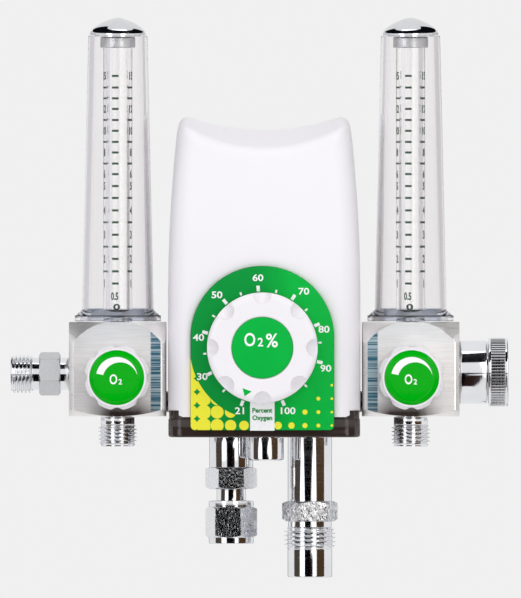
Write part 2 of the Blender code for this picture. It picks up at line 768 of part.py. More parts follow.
def manifold_block(shop, root, screw_holes, cover_screw_holes):
    """The dark block: skirt, core and panel pad in one, with its bores and ports."""
    half = SKIRT_HALF_WIDTH
    radius = SKIRT_EDGE_RADIUS
    front_left = arc_points((-half + radius, PAD_FRONT_Y + radius), radius, 180, 270, 6)
    front_right = arc_points((half - radius, PAD_FRONT_Y + radius), radius, 270, 360, 6)
    outline = [(half, BACK_Y), (-half, BACK_Y)] + front_left + front_right
    skirt = prism_mesh(outline, SKIRT_BOTTOM, SKIRT_TOP)
    block = shop.add("manifold_block", rounded_bottom(skirt), "dark_plastic", root)

    def upright_front(edge):
        a, b = edge.verts
        return abs(a.co.z - b.co.z) > SAME_PLACE and a.co.y < core_front_y() + SAME_PLACE

    core = box_mesh(
        (-core_half_width(), core_front_y(), SKIRT_TOP - SKIRT_ROUNDING),
        (core_half_width(), PLATE_FRONT_Y - SEAT_GAP, CORE_TOP),
        CORE_EDGE_RADIUS,
        5,
        upright_front,
    )
    combine(block, shop.add("block_core", core, None, root), "UNION")
    pad_outline = arch_outline(
        PANEL_HALF_WIDTH - PAD_MARGIN, PANEL_ARCH_Z, SKIRT_TOP - SKIRT_ROUNDING, PANEL_CORNER_RADIUS
    )
    pad = prism_mesh(pad_outline, -core_front_y() - CORE_EDGE_RADIUS, -PAD_FRONT_Y)
    combine(block, shop.add("block_pad", pad, None, root, (PANEL_X, 0, 0), "-Y"), "UNION")

    bores = {
        "mixing_bore": (
            mixing_bore_mesh(),
            (PANEL_X, PAD_FRONT_Y, MIX_Z),
            "-Y",
        ),
        "balance_bore": (
            rod_mesh(BALANCE_RADIUS + RUNNING_GAP, -COVER_HALF_WIDTH, COVER_HALF_WIDTH, SMALL_SIDES),
            (0, -BALANCE_DEPTH, BALANCE_Z),
            "+X",
        ),
        "oxygen_port": (port_mesh(), (OXYGEN_X, -INLET_DEPTH, SKIRT_BOTTOM), "-Z"),
        "air_port": (port_mesh(), (AIR_X, -INLET_DEPTH, SKIRT_BOTTOM), "-Z"),
        "alarm_port": (port_mesh(), (ALARM_X, -ALARM_DEPTH, SKIRT_BOTTOM), "-Z"),
    }
    for name, (mesh, at, axis) in bores.items():
        combine(block, shop.add(name, mesh, None, root, at, axis))
    for name, sign in SIDES:
        inner = core_half_width() - CONNECTOR_PORT_DEPTH
        mesh = rod_mesh(CONNECTOR_RADIUS + RUNNING_GAP, inner, 2 * COVER_HALF_WIDTH, SMALL_SIDES)
        at = (0, -FLOW_DEPTH, CONNECTOR_Z)
        axis = "+X" if sign > 0 else "-X"
        combine(block, shop.add(f"block_connector_port_{name}", mesh, None, root, at, axis))
    for hole in screw_holes + cover_screw_holes:
        combine(block, hole)


def rounded_bottom(mesh):
    """Rounds the lower rim of an upright prism."""
    work = bmesh.new()
    work.from_mesh(mesh)
    bottom = min(v.co.z for v in work.verts)
    bmesh.ops.dissolve_limit(work, angle_limit=math.radians(0.1), verts=work.verts, edges=work.edges)
    rim = [e for e in work.edges if all(abs(v.co.z - bottom) < SAME_PLACE for v in e.verts)]
    bmesh.ops.bevel(work, geom=rim, offset=SKIRT_ROUNDING, segments=3, profile=0.5, affect="EDGES")
    return mesh_from(work)


def mixing_bore_mesh():
    """The bore that takes the gland and the cartridge, from the pad's face."""
    bottom = -CARTRIDGE_LENGTH - GLAND_THICKNESS - 2 * SEAT_GAP
    return rod_mesh(CARTRIDGE_RADIUS + RUNNING_GAP, bottom, CORE_EDGE_RADIUS, SMALL_SIDES)


def port_mesh():
    """The bore that takes a fitting's spigot, with the fitting pointing along +Z."""
    return rod_mesh(SPIGOT_RADIUS + RUNNING_GAP, -SPIGOT_LENGTH - SEAT_GAP, CUT_OVER, SMALL_SIDES)


def dial_panel(shop, root):
    outline = arch_outline(PANEL_HALF_WIDTH, PANEL_ARCH_Z, PANEL_BOTTOM, PANEL_CORNER_RADIUS, 32)
    mesh = prism_mesh(outline, -SEAT_Y, -PANEL_FRONT_Y)
    panel = shop.add("dial_panel", mesh, "green_plastic", root, (PANEL_X, 0, 0), "-Y")
    radius = SPINDLE_RADIUS + RUNNING_GAP
    hole = rod_mesh(radius, -SEAT_Y - CUT_OVER, -PANEL_FRONT_Y + CUT_OVER, SMALL_SIDES)
    combine(panel, shop.add("panel_hole", hole, None, root, (PANEL_X, 0, MIX_Z), "-Y"))


def mixing_valve(shop, root):
    """Cartridge, gland and spindle. Heights run forwards from the pad's face."""
    at = (PANEL_X, PAD_FRONT_Y, MIX_Z)
    gland_back = -GLAND_THICKNESS
    cartridge_front = gland_back - SEAT_GAP
    cartridge_back = cartridge_front - CARTRIDGE_LENGTH
    floor = cartridge_back + CARTRIDGE_FLOOR
    cup = [
        (CARTRIDGE_RADIUS, cartridge_front),
        (CARTRIDGE_RADIUS, cartridge_back),
        (SPINDLE_RADIUS / 2, cartridge_back),
        (SPINDLE_RADIUS / 2, floor),
        (CARTRIDGE_BORE, floor),
        (CARTRIDGE_BORE, cartridge_front),
    ]
    shop.add("mix_cartridge", turned_mesh(cup, SMALL_SIDES, closed=True), "brass", root, at, "-Y")
    gland = tube_mesh(CARTRIDGE_RADIUS, SPINDLE_RADIUS + RUNNING_GAP, gland_back, 0, SMALL_SIDES)
    shop.add("mix_gland", gland, "brass", root, at, "-Y")

    axis = shop.empty("mix_axis", (PANEL_X, PANEL_FRONT_Y, MIX_Z), root)
    to_pad = PAD_FRONT_Y - PANEL_FRONT_Y
    wide = CARTRIDGE_BORE - RUNNING_GAP
    shoulder = cartridge_front - to_pad - SEAT_GAP
    end = floor - to_pad + SEAT_GAP
    front = MIX_KNOB_LIFT + SPINDLE_GRIP
    spindle = [
        (0, front),
        (SPINDLE_RADIUS, front),
        (SPINDLE_RADIUS, shoulder),
        (wide, shoulder),
        (wide, end + wide),
        (SPINDLE_RADIUS / 2, end),
        (0, end),
    ]
    shop.add("mix_spindle", turned_mesh(spindle, SMALL_SIDES), "steel", axis, (0, 0, 0), "-Y")
    return axis


def mixing_knob(shop, axis):
    """A hollow cap with a hub, a recess for its disc and finger hollows."""
    back = MIX_KNOB_LIFT
    front = back + MIX_KNOB_LENGTH
    recess = front - MIX_DISC_THICKNESS
    roof = recess - MIX_KNOB_WALL
    outer = MIX_KNOB_RADIUS
    inner = outer - MIX_KNOB_WALL
    bore = SPINDLE_RADIUS + RUNNING_GAP
    hub = bore + MIX_KNOB_WALL
    seat = back + SPINDLE_GRIP + SEAT_GAP
    rim = [
        (outer - MIX_KNOB_ROUNDING * (1 - math.sin(a)), front - MIX_KNOB_ROUNDING * (1 - math.cos(a)))
        for a in (math.radians(d) for d in QUARTER_TURN)
    ]
    recess_radius = MIX_DISC_RADIUS + SEAT_GAP
    cap = [(0, recess), (recess_radius, recess), (recess_radius, front)] + rim
    cap += [(outer, back), (inner, back), (inner, roof - MIX_HOLLOW_REACH), (recess_radius, roof)]
    cap += [(hub, roof), (hub, back), (bore, back), (bore, seat), (0, seat)]
    half_facet = 180 / LARGE_SIDES
    mesh = turned_mesh(cap, LARGE_SIDES)
    knob = shop.add("mix_knob", mesh, "white_plastic", axis, (0, 0, 0), "-Y", half_facet)
    work = bmesh.new()
    for i in range(MIX_HOLLOWS):
        made = bmesh.ops.create_uvsphere(work, u_segments=8, v_segments=6, radius=1.0)
        bmesh.ops.scale(
            work, verts=made["verts"], vec=(MIX_HOLLOW_HALF_WIDTH, MIX_HOLLOW_REACH, MIX_HOLLOW_DEPTH)
        )
        bmesh.ops.translate(work, verts=made["verts"], vec=(0, outer, front + SEAT_GAP))
        around = rotation_about_z(360 * i / MIX_HOLLOWS)
        bmesh.ops.transform(work, matrix=around, verts=made["verts"])
    combine(knob, shop.add("mix_knob_hollows", mesh_from(work), None, axis, (0, 0, 0), "-Y"))
    disc = [
        (0, front + MIX_DISC_PROUD),
        (MIX_DISC_RADIUS - MIX_DISC_PROUD, front + MIX_DISC_PROUD),
        (MIX_DISC_RADIUS, front),
        (MIX_DISC_RADIUS, recess + SEAT_GAP),
        (0, recess + SEAT_GAP),
    ]
    shop.add("mix_knob_disc", turned_mesh(disc, LARGE_SIDES), "green_plastic", axis, (0, 0, 0), "-Y")


def balance_module(shop, root):
    """Two sleeves clamp the diaphragm at the middle, and two plugs close the bore."""
    at = (0, -BALANCE_DEPTH, BALANCE_Z)
    half_skin = BALANCE_DIAPHRAGM_THICKNESS / 2
    rod = BALANCE_SPOOL_RADIUS
    guide = rod + RUNNING_GAP
    skin = tube_mesh(BALANCE_RADIUS, guide, -half_skin, half_skin, SMALL_SIDES)
    shop.add("balance_diaphragm", skin, "rubber", root, at, "+X")
    near = half_skin + SEAT_GAP
    far = near + BALANCE_SLEEVE_LENGTH
    web = far - BALANCE_SLEEVE_WALL
    inner = BALANCE_RADIUS - BALANCE_SLEEVE_WALL
    plug_end = core_half_width()
    for name, sign in SIDES:
        axis = "+X" if sign > 0 else "-X"
        cup = [
            (BALANCE_RADIUS, far),
            (BALANCE_RADIUS, near),
            (inner, near),
            (inner, web),
            (guide, web),
            (guide, far),
        ]
        sleeve = turned_mesh(cup, SMALL_SIDES, closed=True)
        shop.add(f"balance_sleeve_{name}", sleeve, "brass", root, at, axis)
        plug_start = far + SEAT_GAP
        hollow = rod + RUNNING_GAP + SEAT_GAP
        room = plug_start + BALANCE_SPOOL_END + BALANCE_SPOOL_TRAVEL + SEAT_GAP
        plug = [
            (0, plug_end),
            (BALANCE_RADIUS, plug_end),
            (BALANCE_RADIUS, plug_start),
            (hollow, plug_start),
            (hollow, room),
            (0, room),
        ]
        shop.add(f"balance_plug_{name}", turned_mesh(plug, SMALL_SIDES), "aluminium", root, at, axis)

    holder = shop.empty("balance_axis", at, root)
    end = far + BALANCE_SPOOL_END
    plate_near = half_skin + BALANCE_SPOOL_TRAVEL + SEAT_GAP
    plate_far = plate_near + BALANCE_DIAPHRAGM_THICKNESS
    plate = BALANCE_SPOOL_PLATE
    upper = [(0, end), (rod, end), (rod, plate_far), (plate, plate_far)]
    upper += [(plate, plate_near), (rod, plate_near)]
    lower = [(radius, -height) for radius, height in reversed(upper)]
    shop.add("balance_spool", turned_mesh(upper + lower, SMALL_SIDES), "steel", holder, (0, 0, 0), "+X")


def inlet_bore(upper_depth, lower_radius, end):
    """The stepped bore of an inlet: wide from its spigot down, for filter and valve, then narrow."""
    wide = FILTER_RADIUS + RUNNING_GAP
    top = -SPIGOT_LENGTH - CUT_OVER
    return turned_mesh(
        [
            (0, end),
            (lower_radius, end),
            (lower_radius, upper_depth),
            (wide, upper_depth),
            (wide, top),
            (0, top),
        ],
        SMALL_SIDES,
    )


def inlet_inserts(shop, holder, name):
    """The filter at the top of an inlet, and the check valve below it."""
    centre = (0, 0, 0)
    start = -SPIGOT_LENGTH + SEAT_GAP
    filter_end = start + FILTER_LENGTH
    rod = rod_mesh(FILTER_RADIUS, start, filter_end, SMALL_SIDES)
    shop.add(f"{name}_filter", rod, "sintered", holder, centre, "-Z")
    valve_start = filter_end + SEAT_GAP
    valve_end = valve_start + CHECK_VALVE_LENGTH
    duckbill = [
        (0, valve_end),
        (CHECK_VALVE_TIP, valve_end),
        (CHECK_VALVE_SHOULDER, valve_start + CHECK_VALVE_RIM),
        (FILTER_RADIUS, valve_start + CHECK_VALVE_RIM),
        (FILTER_RADIUS, valve_start),
        (0, valve_start),
    ]
    shop.add(f"{name}_check_valve", turned_mesh(duckbill, SMALL_SIDES), "rubber", holder, centre, "-Z")
    return valve_end + SEAT_GAP


def oxygen_inlet(shop, root):
    """Pipe, hexagon and neck in one piece, and the swivel nut that its flange holds."""
    holder = shop.empty("oxygen_axis", (OXYGEN_X, -INLET_DEPTH, FITTING_TOP), root)
    upper_depth = inlet_inserts(shop, holder, "oxygen")
    hex_start = OXYGEN_PIPE_LENGTH
    hex_end = hex_start + OXYGEN_HEX_LENGTH
    nut_start = hex_end + OXYGEN_NECK_LENGTH
    flange_start = nut_start + NUT_COLLAR_LENGTH + RUNNING_GAP
    flange_end = flange_start + NUT_FLANGE_LENGTH
    profile = [
        (0, flange_end),
        (NUT_FLANGE_RADIUS - NUT_FLANGE_LENGTH, flange_end),
        (NUT_FLANGE_RADIUS, flange_start + NUT_FLANGE_LENGTH / 2),
        (NUT_FLANGE_RADIUS, flange_start),
        (OXYGEN_NECK_RADIUS, flange_start),
        (OXYGEN_NECK_RADIUS, hex_end - OXYGEN_HEX_LENGTH / 2),
        (OXYGEN_PIPE_RADIUS, hex_end - OXYGEN_HEX_LENGTH / 2),
        (OXYGEN_PIPE_RADIUS, 0),
        (SPIGOT_RADIUS, 0),
        (SPIGOT_RADIUS, -SPIGOT_LENGTH),
        (0, -SPIGOT_LENGTH),
    ]
    body = shop.add("oxygen_inlet", turned_mesh(profile, MIDDLE_SIDES), "chrome", holder, (0, 0, 0), "-Z")
    hexagon = hexagon_mesh(OXYGEN_HEX_CORNERS, hex_start, hex_end)
    combine(body, shop.add("oxygen_hexagon", hexagon, None, holder, (0, 0, 0), "-Z"), "UNION")
    bore = inlet_bore(upper_depth, OXYGEN_BORE, flange_end + CUT_OVER)
    combine(body, shop.add("oxygen_bore", bore, None, holder, (0, 0, 0), "-Z"))

    nut_hex_start = nut_start + NUT_COLLAR_LENGTH
    nut_hex_end = nut_hex_start + NUT_HEX_LENGTH
    nut_end = nut_hex_end + NUT_COLLAR_LENGTH
    collar = rod_mesh(NUT_COLLAR_RADIUS, nut_start, nut_end, MIDDLE_SIDES)
    nut = shop.add("oxygen_nut", collar, "chrome", holder, (0, 0, 0), "-Z")
    nut_hexagon = hexagon_mesh(NUT_HEX_CORNERS, nut_hex_start, nut_hex_end, -NUT_HEX_TURN)
    combine(nut, shop.add("nut_hexagon", nut_hexagon, None, holder, (0, 0, 0), "-Z"), "UNION")
    neck_bore = OXYGEN_NECK_RADIUS + RUNNING_GAP
    hollow = turned_mesh(
        [
            (0, nut_end + CUT_OVER),
            (NUT_BORE, nut_end + CUT_OVER),
            (NUT_BORE, nut_hex_start),
            (neck_bore, nut_hex_start),
            (neck_bore, nut_start - CUT_OVER),
            (0, nut_start - CUT_OVER),
        ],
        MIDDLE_SIDES,
    )
    combine(nut, shop.add("nut_hollow", hollow, None, holder, (0, 0, 0), "-Z"))


def air_inlet(shop, root):
    """Pipe, hexagon, neck, thread and nose in one piece."""
    holder = shop.empty("air_axis", (AIR_X, -INLET_DEPTH, FITTING_TOP), root)
    upper_depth = inlet_inserts(shop, holder, "air")
    hex_start = AIR_PIPE_LENGTH
    hex_end = hex_start + AIR_HEX_LENGTH
    thread_start = hex_end + AIR_NECK_LENGTH
    thread_end = thread_start + AIR_THREAD_LENGTH
    end = thread_end + AIR_NOSE_LENGTH
    ease = (AIR_THREAD_RADIUS - AIR_NOSE_RADIUS) / 2
    profile = [
        (0, end),
        (AIR_NOSE_RADIUS - ease, end),
        (AIR_NOSE_RADIUS, end - ease),
        (AIR_NOSE_RADIUS, thread_end),
        (AIR_THREAD_RADIUS - ease, thread_end),
        (AIR_THREAD_RADIUS, thread_end - ease),
        (AIR_THREAD_RADIUS, thread_start + ease),
        (AIR_THREAD_RADIUS - ease, thread_start),
        (AIR_NECK_RADIUS, thread_start),
        (AIR_NECK_RADIUS, hex_end - AIR_HEX_LENGTH / 2),
        (AIR_PIPE_RADIUS, hex_end - AIR_HEX_LENGTH / 2),
        (AIR_PIPE_RADIUS, 0),
        (SPIGOT_RADIUS, 0),
        (SPIGOT_RADIUS, -SPIGOT_LENGTH),
        (0, -SPIGOT_LENGTH),
    ]
    body = shop.add("air_inlet", turned_mesh(profile, MIDDLE_SIDES), "chrome", holder, (0, 0, 0), "-Z")
    hexagon = hexagon_mesh(AIR_HEX_CORNERS, hex_start, hex_end, -AIR_HEX_TURN)
    combine(body, shop.add("air_hexagon", hexagon, None, holder, (0, 0, 0), "-Z"), "UNION")
    bore = inlet_bore(upper_depth, AIR_BORE, end + CUT_OVER)
    combine(body, shop.add("air_bore", bore, None, holder, (0, 0, 0), "-Z"))
    mouth = rod_mesh(AIR_MOUTH_RADIUS, end - AIR_MOUTH_DEPTH, end + CUT_OVER, SMALL_SIDES)
    combine(body, shop.add("air_mouth", mouth, None, holder, (0, 0, 0), "-Z"))


def alarm_outlet(shop, root):
    end = ALARM_LENGTH
    rim = [
        (ALARM_RADIUS - ALARM_ROUNDING * (1 - math.sin(a)), end - ALARM_ROUNDING * (1 - math.cos(a)))
        for a in (math.radians(d) for d in QUARTER_TURN)
    ]
    profile = [(ALARM_BORE, end)] + rim + [
        (ALARM_RADIUS, 0),
        (SPIGOT_RADIUS, 0),
        (SPIGOT_RADIUS, -SPIGOT_LENGTH),
        (0, -SPIGOT_LENGTH),
    ]
    inner = [(0, end - ALARM_BORE_DEPTH), (ALARM_BORE, end - ALARM_BORE_DEPTH)]
    at = (ALARM_X, -ALARM_DEPTH, FITTING_TOP)
    shop.add("alarm_outlet", turned_mesh(inner + profile, MIDDLE_SIDES), "chrome", root, at, "-Z")


def connectors(shop, root):
    """A dark tube on each side, from a port in the block to a port in the flowmeter."""
    start = core_half_width() - CONNECTOR_PORT_DEPTH + SEAT_GAP
    end = FLOW_X - FLOW_BLOCK_HALF_WIDTH + CONNECTOR_PORT_DEPTH - SEAT_GAP
    for name, sign in SIDES:
        mesh = tube_mesh(CONNECTOR_RADIUS, CONNECTOR_BORE, start, end, SMALL_SIDES)
        axis = "+X" if sign > 0 else "-X"
        shop.add(f"connector_{name}", mesh, "dark_plastic", root, (0, -FLOW_DEPTH, CONNECTOR_Z), axis)


def flow_block(shop, holder, name, sign):
    """A box with a turned front face, a tube socket on top and ports for valve and fittings."""
    half = FLOW_BLOCK_HALF_WIDTH

    def upright(edge):
        a, b = edge.verts
        return abs(a.co.z - b.co.z) > SAME_PLACE

    box = box_mesh(
        (-half, -FLOW_BLOCK_HALF_DEPTH, FLOW_BLOCK_BOTTOM),
        (half, FLOW_BLOCK_HALF_DEPTH, FLOW_BLOCK_TOP),
        FLOW_BLOCK_CHAMFER,
        2,
        upright,
    )
    block = shop.add(f"flow_block_{name}", box, "aluminium", holder)
    depth = 2 * FLOW_BLOCK_HALF_DEPTH
    reach = 3 * half
    face = [
        (0, 0),
        (FLOW_FACE_RADIUS, 0),
        (reach, -(reach - FLOW_FACE_RADIUS) * FLOW_FACE_SLOPE),
        (reach, -depth - CUT_OVER),
        (0, -depth - CUT_OVER),
    ]
    face_at = (0, -FLOW_BLOCK_HALF_DEPTH, VALVE_Z)
    face_mesh = turned_mesh(face, LARGE_SIDES)
    combine(block, shop.add(f"flow_face_{name}", face_mesh, None, holder, face_at, "-Y"), "INTERSECT")
    foot = FLOW_FOOT_RADIUS
    foot_profile = [
        (0, CUT_OVER),
        (foot - CUT_OVER, CUT_OVER),
        (foot + FLOW_FOOT_BEVEL, -FLOW_FOOT_BEVEL),
        (2 * foot, -foot),
        (2 * foot, -depth - foot),
        (0, -depth - foot),
    ]
    foot_at = (0, -FLOW_BLOCK_HALF_DEPTH, FLOW_BLOCK_BOTTOM + foot)
    foot_mesh = turned_mesh(foot_profile, 2 * LARGE_SIDES)
    combine(block, shop.add(f"flow_foot_{name}", foot_mesh, None, holder, foot_at, "-Y"), "INTERSECT")

    side = "+X" if sign > 0 else "-X"
    inner_side = "-X" if sign > 0 else "+X"
    cutters = {
        "tube_socket": (
            rod_mesh(TUBE_RADIUS + RUNNING_GAP, -TUBE_SOCKET_DEPTH, CUT_OVER, SMALL_SIDES),
            (0, 0, FLOW_BLOCK_TOP),
            "+Z",
        ),
        "valve_bore": (
            rod_mesh(BONNET_RADIUS + RUNNING_GAP, -BONNET_DEPTH - STEM_TIP_LENGTH, CUT_OVER, SMALL_SIDES),
            (0, -FLOW_BLOCK_HALF_DEPTH, VALVE_Z),
            "-Y",
        ),
        "outlet_port": (outlet_port_mesh(), (0, 0, FLOW_BLOCK_BOTTOM), "-Z"),
        "outer_port": (
            port_mesh(),
            (sign * half, 0, AUX_Z if sign < 0 else BARREL_Z),
            side,
        ),
        "inner_port": (
            rod_mesh(CONNECTOR_RADIUS + RUNNING_GAP, -CONNECTOR_PORT_DEPTH, CUT_OVER, SMALL_SIDES),
            (-sign * half, 0, CONNECTOR_Z),
            inner_side,
        ),
    }
    for cutter_name, (mesh, at, axis) in cutters.items():
        combine(block, shop.add(f"{cutter_name}_{name}", mesh, None, holder, at, axis))


def outlet_port_mesh():
    radius = OUTLET_SPIGOT_RADIUS + RUNNING_GAP
    return rod_mesh(radius, -OUTLET_NECK_LENGTH - SEAT_GAP, CUT_OVER, SMALL_SIDES)


def flow_valve(shop, holder, name):
    """Bonnet and stem, knob and disc. Heights run forwards from the block's face."""
    at = (0, -FLOW_BLOCK_HALF_DEPTH, VALVE_Z)
    flange_start = SEAT_GAP
    flange_end = flange_start + BONNET_FLANGE_LENGTH
    stem_bore = STEM_RADIUS + RUNNING_GAP
    bonnet = [
        (BONNET_FLANGE_RADIUS, flange_end),
        (BONNET_FLANGE_RADIUS, flange_start),
        (BONNET_RADIUS, flange_start),
        (BONNET_RADIUS, -BONNET_DEPTH),
        (stem_bore, -BONNET_DEPTH),
        (stem_bore, flange_end),
    ]
    shop.add(f"bonnet_{name}", turned_mesh(bonnet, SMALL_SIDES, closed=True), "brass", holder, at, "-Y")

    axis = shop.empty(f"flow_axis_{name}", at, holder)
    back = flange_end + FLOW_KNOB_LIFT
    front = back + FLOW_KNOB_LENGTH
    grip_end = back + STEM_GRIP
    tip = -BONNET_DEPTH - STEM_TIP_LENGTH + SEAT_GAP
    stem = [
        (0, grip_end),
        (STEM_RADIUS, grip_end),
        (STEM_RADIUS, -BONNET_DEPTH),
        (STEM_TIP_RADIUS, tip),
        (0, tip),
    ]
    shop.add(f"flow_stem_{name}", turned_mesh(stem, SMALL_SIDES), "steel", axis, (0, 0, 0), "-Y")

    recess = front - FLOW_DISC_THICKNESS
    wall = FLOW_KNOB_WALL
    roof = recess - wall
    skirt = FLOW_KNOB_RADIUS
    neck = FLOW_KNOB_NECK_RADIUS
    seat = FLOW_DISC_RADIUS + SEAT_GAP
    hub = stem_bore + wall
    cap = [
        (0, recess),
        (seat, recess),
        (seat, front),
        (neck, front - (neck - seat)),
        (neck, back + FLOW_KNOB_SKIRT),
        (skirt, back + FLOW_KNOB_SKIRT - FLOW_KNOB_SHOULDER),
        (skirt, back),
        (neck - wall, back),
        (neck - wall, roof),
        (hub, roof),
        (hub, back + wall),
        (stem_bore, back + wall),
        (stem_bore, grip_end + SEAT_GAP),
        (0, grip_end + SEAT_GAP),
    ]
    half_facet = 180 / LARGE_SIDES
    mesh = turned_mesh(cap, LARGE_SIDES)
    knob = shop.add(f"flow_knob_{name}", mesh, "white_plastic", axis, (0, 0, 0), "-Y", half_facet)
    work = bmesh.new()
    for i in range(FLOW_KNOB_LOBES):
        angle = math.tau * i / FLOW_KNOB_LOBES
        made = bmesh.ops.create_cone(
            work,
            cap_ends=True,
            segments=8,
            radius1=FLOW_KNOB_NOTCH_RADIUS,
            radius2=FLOW_KNOB_NOTCH_RADIUS,
            depth=FLOW_KNOB_SKIRT,
        )
        reach = skirt + FLOW_KNOB_NOTCH_RADIUS - FLOW_KNOB_NOTCH_DEPTH
        place = (reach * math.sin(angle), reach * math.cos(angle), back + FLOW_KNOB_SKIRT / 2 - CUT_OVER)
        bmesh.ops.translate(work, verts=made["verts"], vec=place)
    combine(knob, shop.add(f"flow_knob_notches_{name}", mesh_from(work), None, axis, (0, 0, 0), "-Y"))

    radius = FLOW_DISC_RADIUS
    dome = [
        (radius * share, front + FLOW_DISC_DOME * (1 - share**2)) for share in (0.0, 0.5, 0.8, 1.0)
    ]
    disc = dome + [(radius, recess + SEAT_GAP), (0, recess + SEAT_GAP)]
    shop.add(f"flow_disc_{name}", turned_mesh(disc, MIDDLE_SIDES), "green_plastic", axis, (0, 0, 0), "-Y")


def flow_tube(shop, holder, name):
    """The seal in the block's socket, the graduated tube on it, its float, bushing, shroud and cap."""
    seal_bottom = TUBE_SOCKET_FLOOR + SEAT_GAP
    seal_top = seal_bottom + TUBE_SEAL_THICKNESS
    seal = tube_mesh(TUBE_RADIUS, TUBE_SEAL_BORE, seal_bottom, seal_top, SMALL_SIDES)
    shop.add(f"tube_seal_{name}", seal, "rubber", holder)
    tube = tube_mesh(TUBE_RADIUS, TUBE_BORE, seal_top + SEAT_GAP, TUBE_TOP, SMALL_SIDES)
    shop.add(f"flow_tube_{name}", tube, "clear", holder)

    work = bmesh.new()
    bmesh.ops.create_uvsphere(work, u_segments=10, v_segments=6, radius=FLOAT_RADIUS)
    ball = mesh_from(work)
    ball.shade_smooth()
    shop.add(f"float_{name}", ball, "steel", holder, (0, 0, seal_top + SEAT_GAP + FLOAT_RADIUS))

    shroud_inner_top = SHROUD_TOP_RADIUS - SHROUD_WALL
    bushing_top = TUBE_TOP + SEAT_GAP + BUSHING_ROOF
    bushing = [
        (0, bushing_top),
        (BUSHING_RADIUS, bushing_top),
        (BUSHING_RADIUS, bushing_top - BUSHING_LENGTH),
        (TUBE_RADIUS + SEAT_GAP, bushing_top - BUSHING_LENGTH),
        (TUBE_RADIUS + SEAT_GAP, TUBE_TOP + SEAT_GAP),
        (0, TUBE_TOP + SEAT_GAP),
    ]
    shop.add(f"tube_bushing_{name}", turned_mesh(bushing, SMALL_SIDES), "aluminium", holder)

    foot_top = SHROUD_SEAT + SHROUD_FOOT_HEIGHT
    cone_top = foot_top + SHROUD_CONE_HEIGHT
    wall = SHROUD_WALL
    shroud = [
        (SHROUD_TOP_RADIUS, SHROUD_TOP),
        (SHROUD_BASE_RADIUS, cone_top),
        (SHROUD_FOOT_RADIUS, foot_top),
        (SHROUD_FOOT_RADIUS, SHROUD_SEAT),
        (SHROUD_BASE_RADIUS - wall, SHROUD_SEAT),
        (SHROUD_BASE_RADIUS - wall, cone_top),
        (shroud_inner_top, SHROUD_TOP),
    ]
    shop.add(f"shroud_{name}", turned_mesh(shroud, LARGE_SIDES, closed=True), "clear", holder)

    cap_bottom = SHROUD_TOP + SEAT_GAP
    spigot_bottom = max(SHROUD_TOP - CAP_SPIGOT_LENGTH, bushing_top + SEAT_GAP)
    dome = [
        (CAP_RADIUS * math.sin(math.radians(a)), cap_bottom + CAP_HEIGHT * math.cos(math.radians(a)))
        for a in QUARTER_TURN
    ]
    spigot = shroud_inner_top - SEAT_GAP
    cap = dome + [(spigot, cap_bottom), (spigot, spigot_bottom), (0, spigot_bottom)]
    shop.add(f"tube_cap_{name}", turned_mesh(cap, MIDDLE_SIDES), "steel", holder)


def outlet_fitting(shop, holder, name):
    """The threaded outlet below a flowmeter. Heights run down from the block."""
    spigot = OUTLET_SPIGOT_RADIUS
    thread_start = OUTLET_NECK_LENGTH
    end = thread_start + OUTLET_THREAD_LENGTH
    ease = OUTLET_THREAD_RADIUS - OUTLET_NECK_RADIUS
    profile = [
        (OUTLET_THREAD_RADIUS - ease, end),
        (OUTLET_THREAD_RADIUS, end - ease),
        (OUTLET_THREAD_RADIUS, thread_start + ease / 2),
        (OUTLET_NECK_RADIUS, thread_start),
        (OUTLET_NECK_RADIUS, 0),
        (spigot, 0),
        (spigot, -OUTLET_NECK_LENGTH),
        (OUTLET_BORE, -OUTLET_NECK_LENGTH),
        (OUTLET_BORE, end),
    ]
    mesh = turned_mesh(profile, MIDDLE_SIDES, closed=True)
    shop.add(f"outlet_fitting_{name}", mesh, "chrome", holder, (0, 0, OUTLET_TOP), "-Z")


def auxiliary_fitting(shop, holder):
    """The left auxiliary outlet. Heights run outwards from the block's side."""
    at = (-FLOW_BLOCK_HALF_WIDTH - SEAT_GAP, 0, AUX_Z)
    hex_start = AUX_NECK_LENGTH
    hex_end = hex_start + AUX_HEX_LENGTH
    thread_start = hex_end + AUX_THREAD_NECK_LENGTH
    end = thread_start + AUX_THREAD_LENGTH
    ease = AUX_THREAD_RADIUS - AUX_NECK_RADIUS
    profile = [
        (0, end),
        (AUX_THREAD_RADIUS - ease, end),
        (AUX_THREAD_RADIUS, end - ease / 2),
        (AUX_THREAD_RADIUS, thread_start + ease / 2),
        (AUX_NECK_RADIUS, thread_start),
        (AUX_NECK_RADIUS, 0),
        (SPIGOT_RADIUS, 0),
        (SPIGOT_RADIUS, -SPIGOT_LENGTH),
        (0, -SPIGOT_LENGTH),
    ]
    fitting = shop.add("auxiliary_outlet", turned_mesh(profile, MIDDLE_SIDES), "chrome", holder, at, "-X")
    hexagon = hexagon_mesh(AUX_HEX_CORNERS, hex_start, hex_end, 30.0)
    combine(fitting, shop.add("auxiliary_hexagon", hexagon, None, holder, at, "-X"), "UNION")
    bore = rod_mesh(OUTLET_BORE, -SPIGOT_LENGTH - CUT_OVER, end + CUT_OVER, SMALL_SIDES)
    combine(fitting, shop.add("auxiliary_bore", bore, None, holder, at, "-X"))


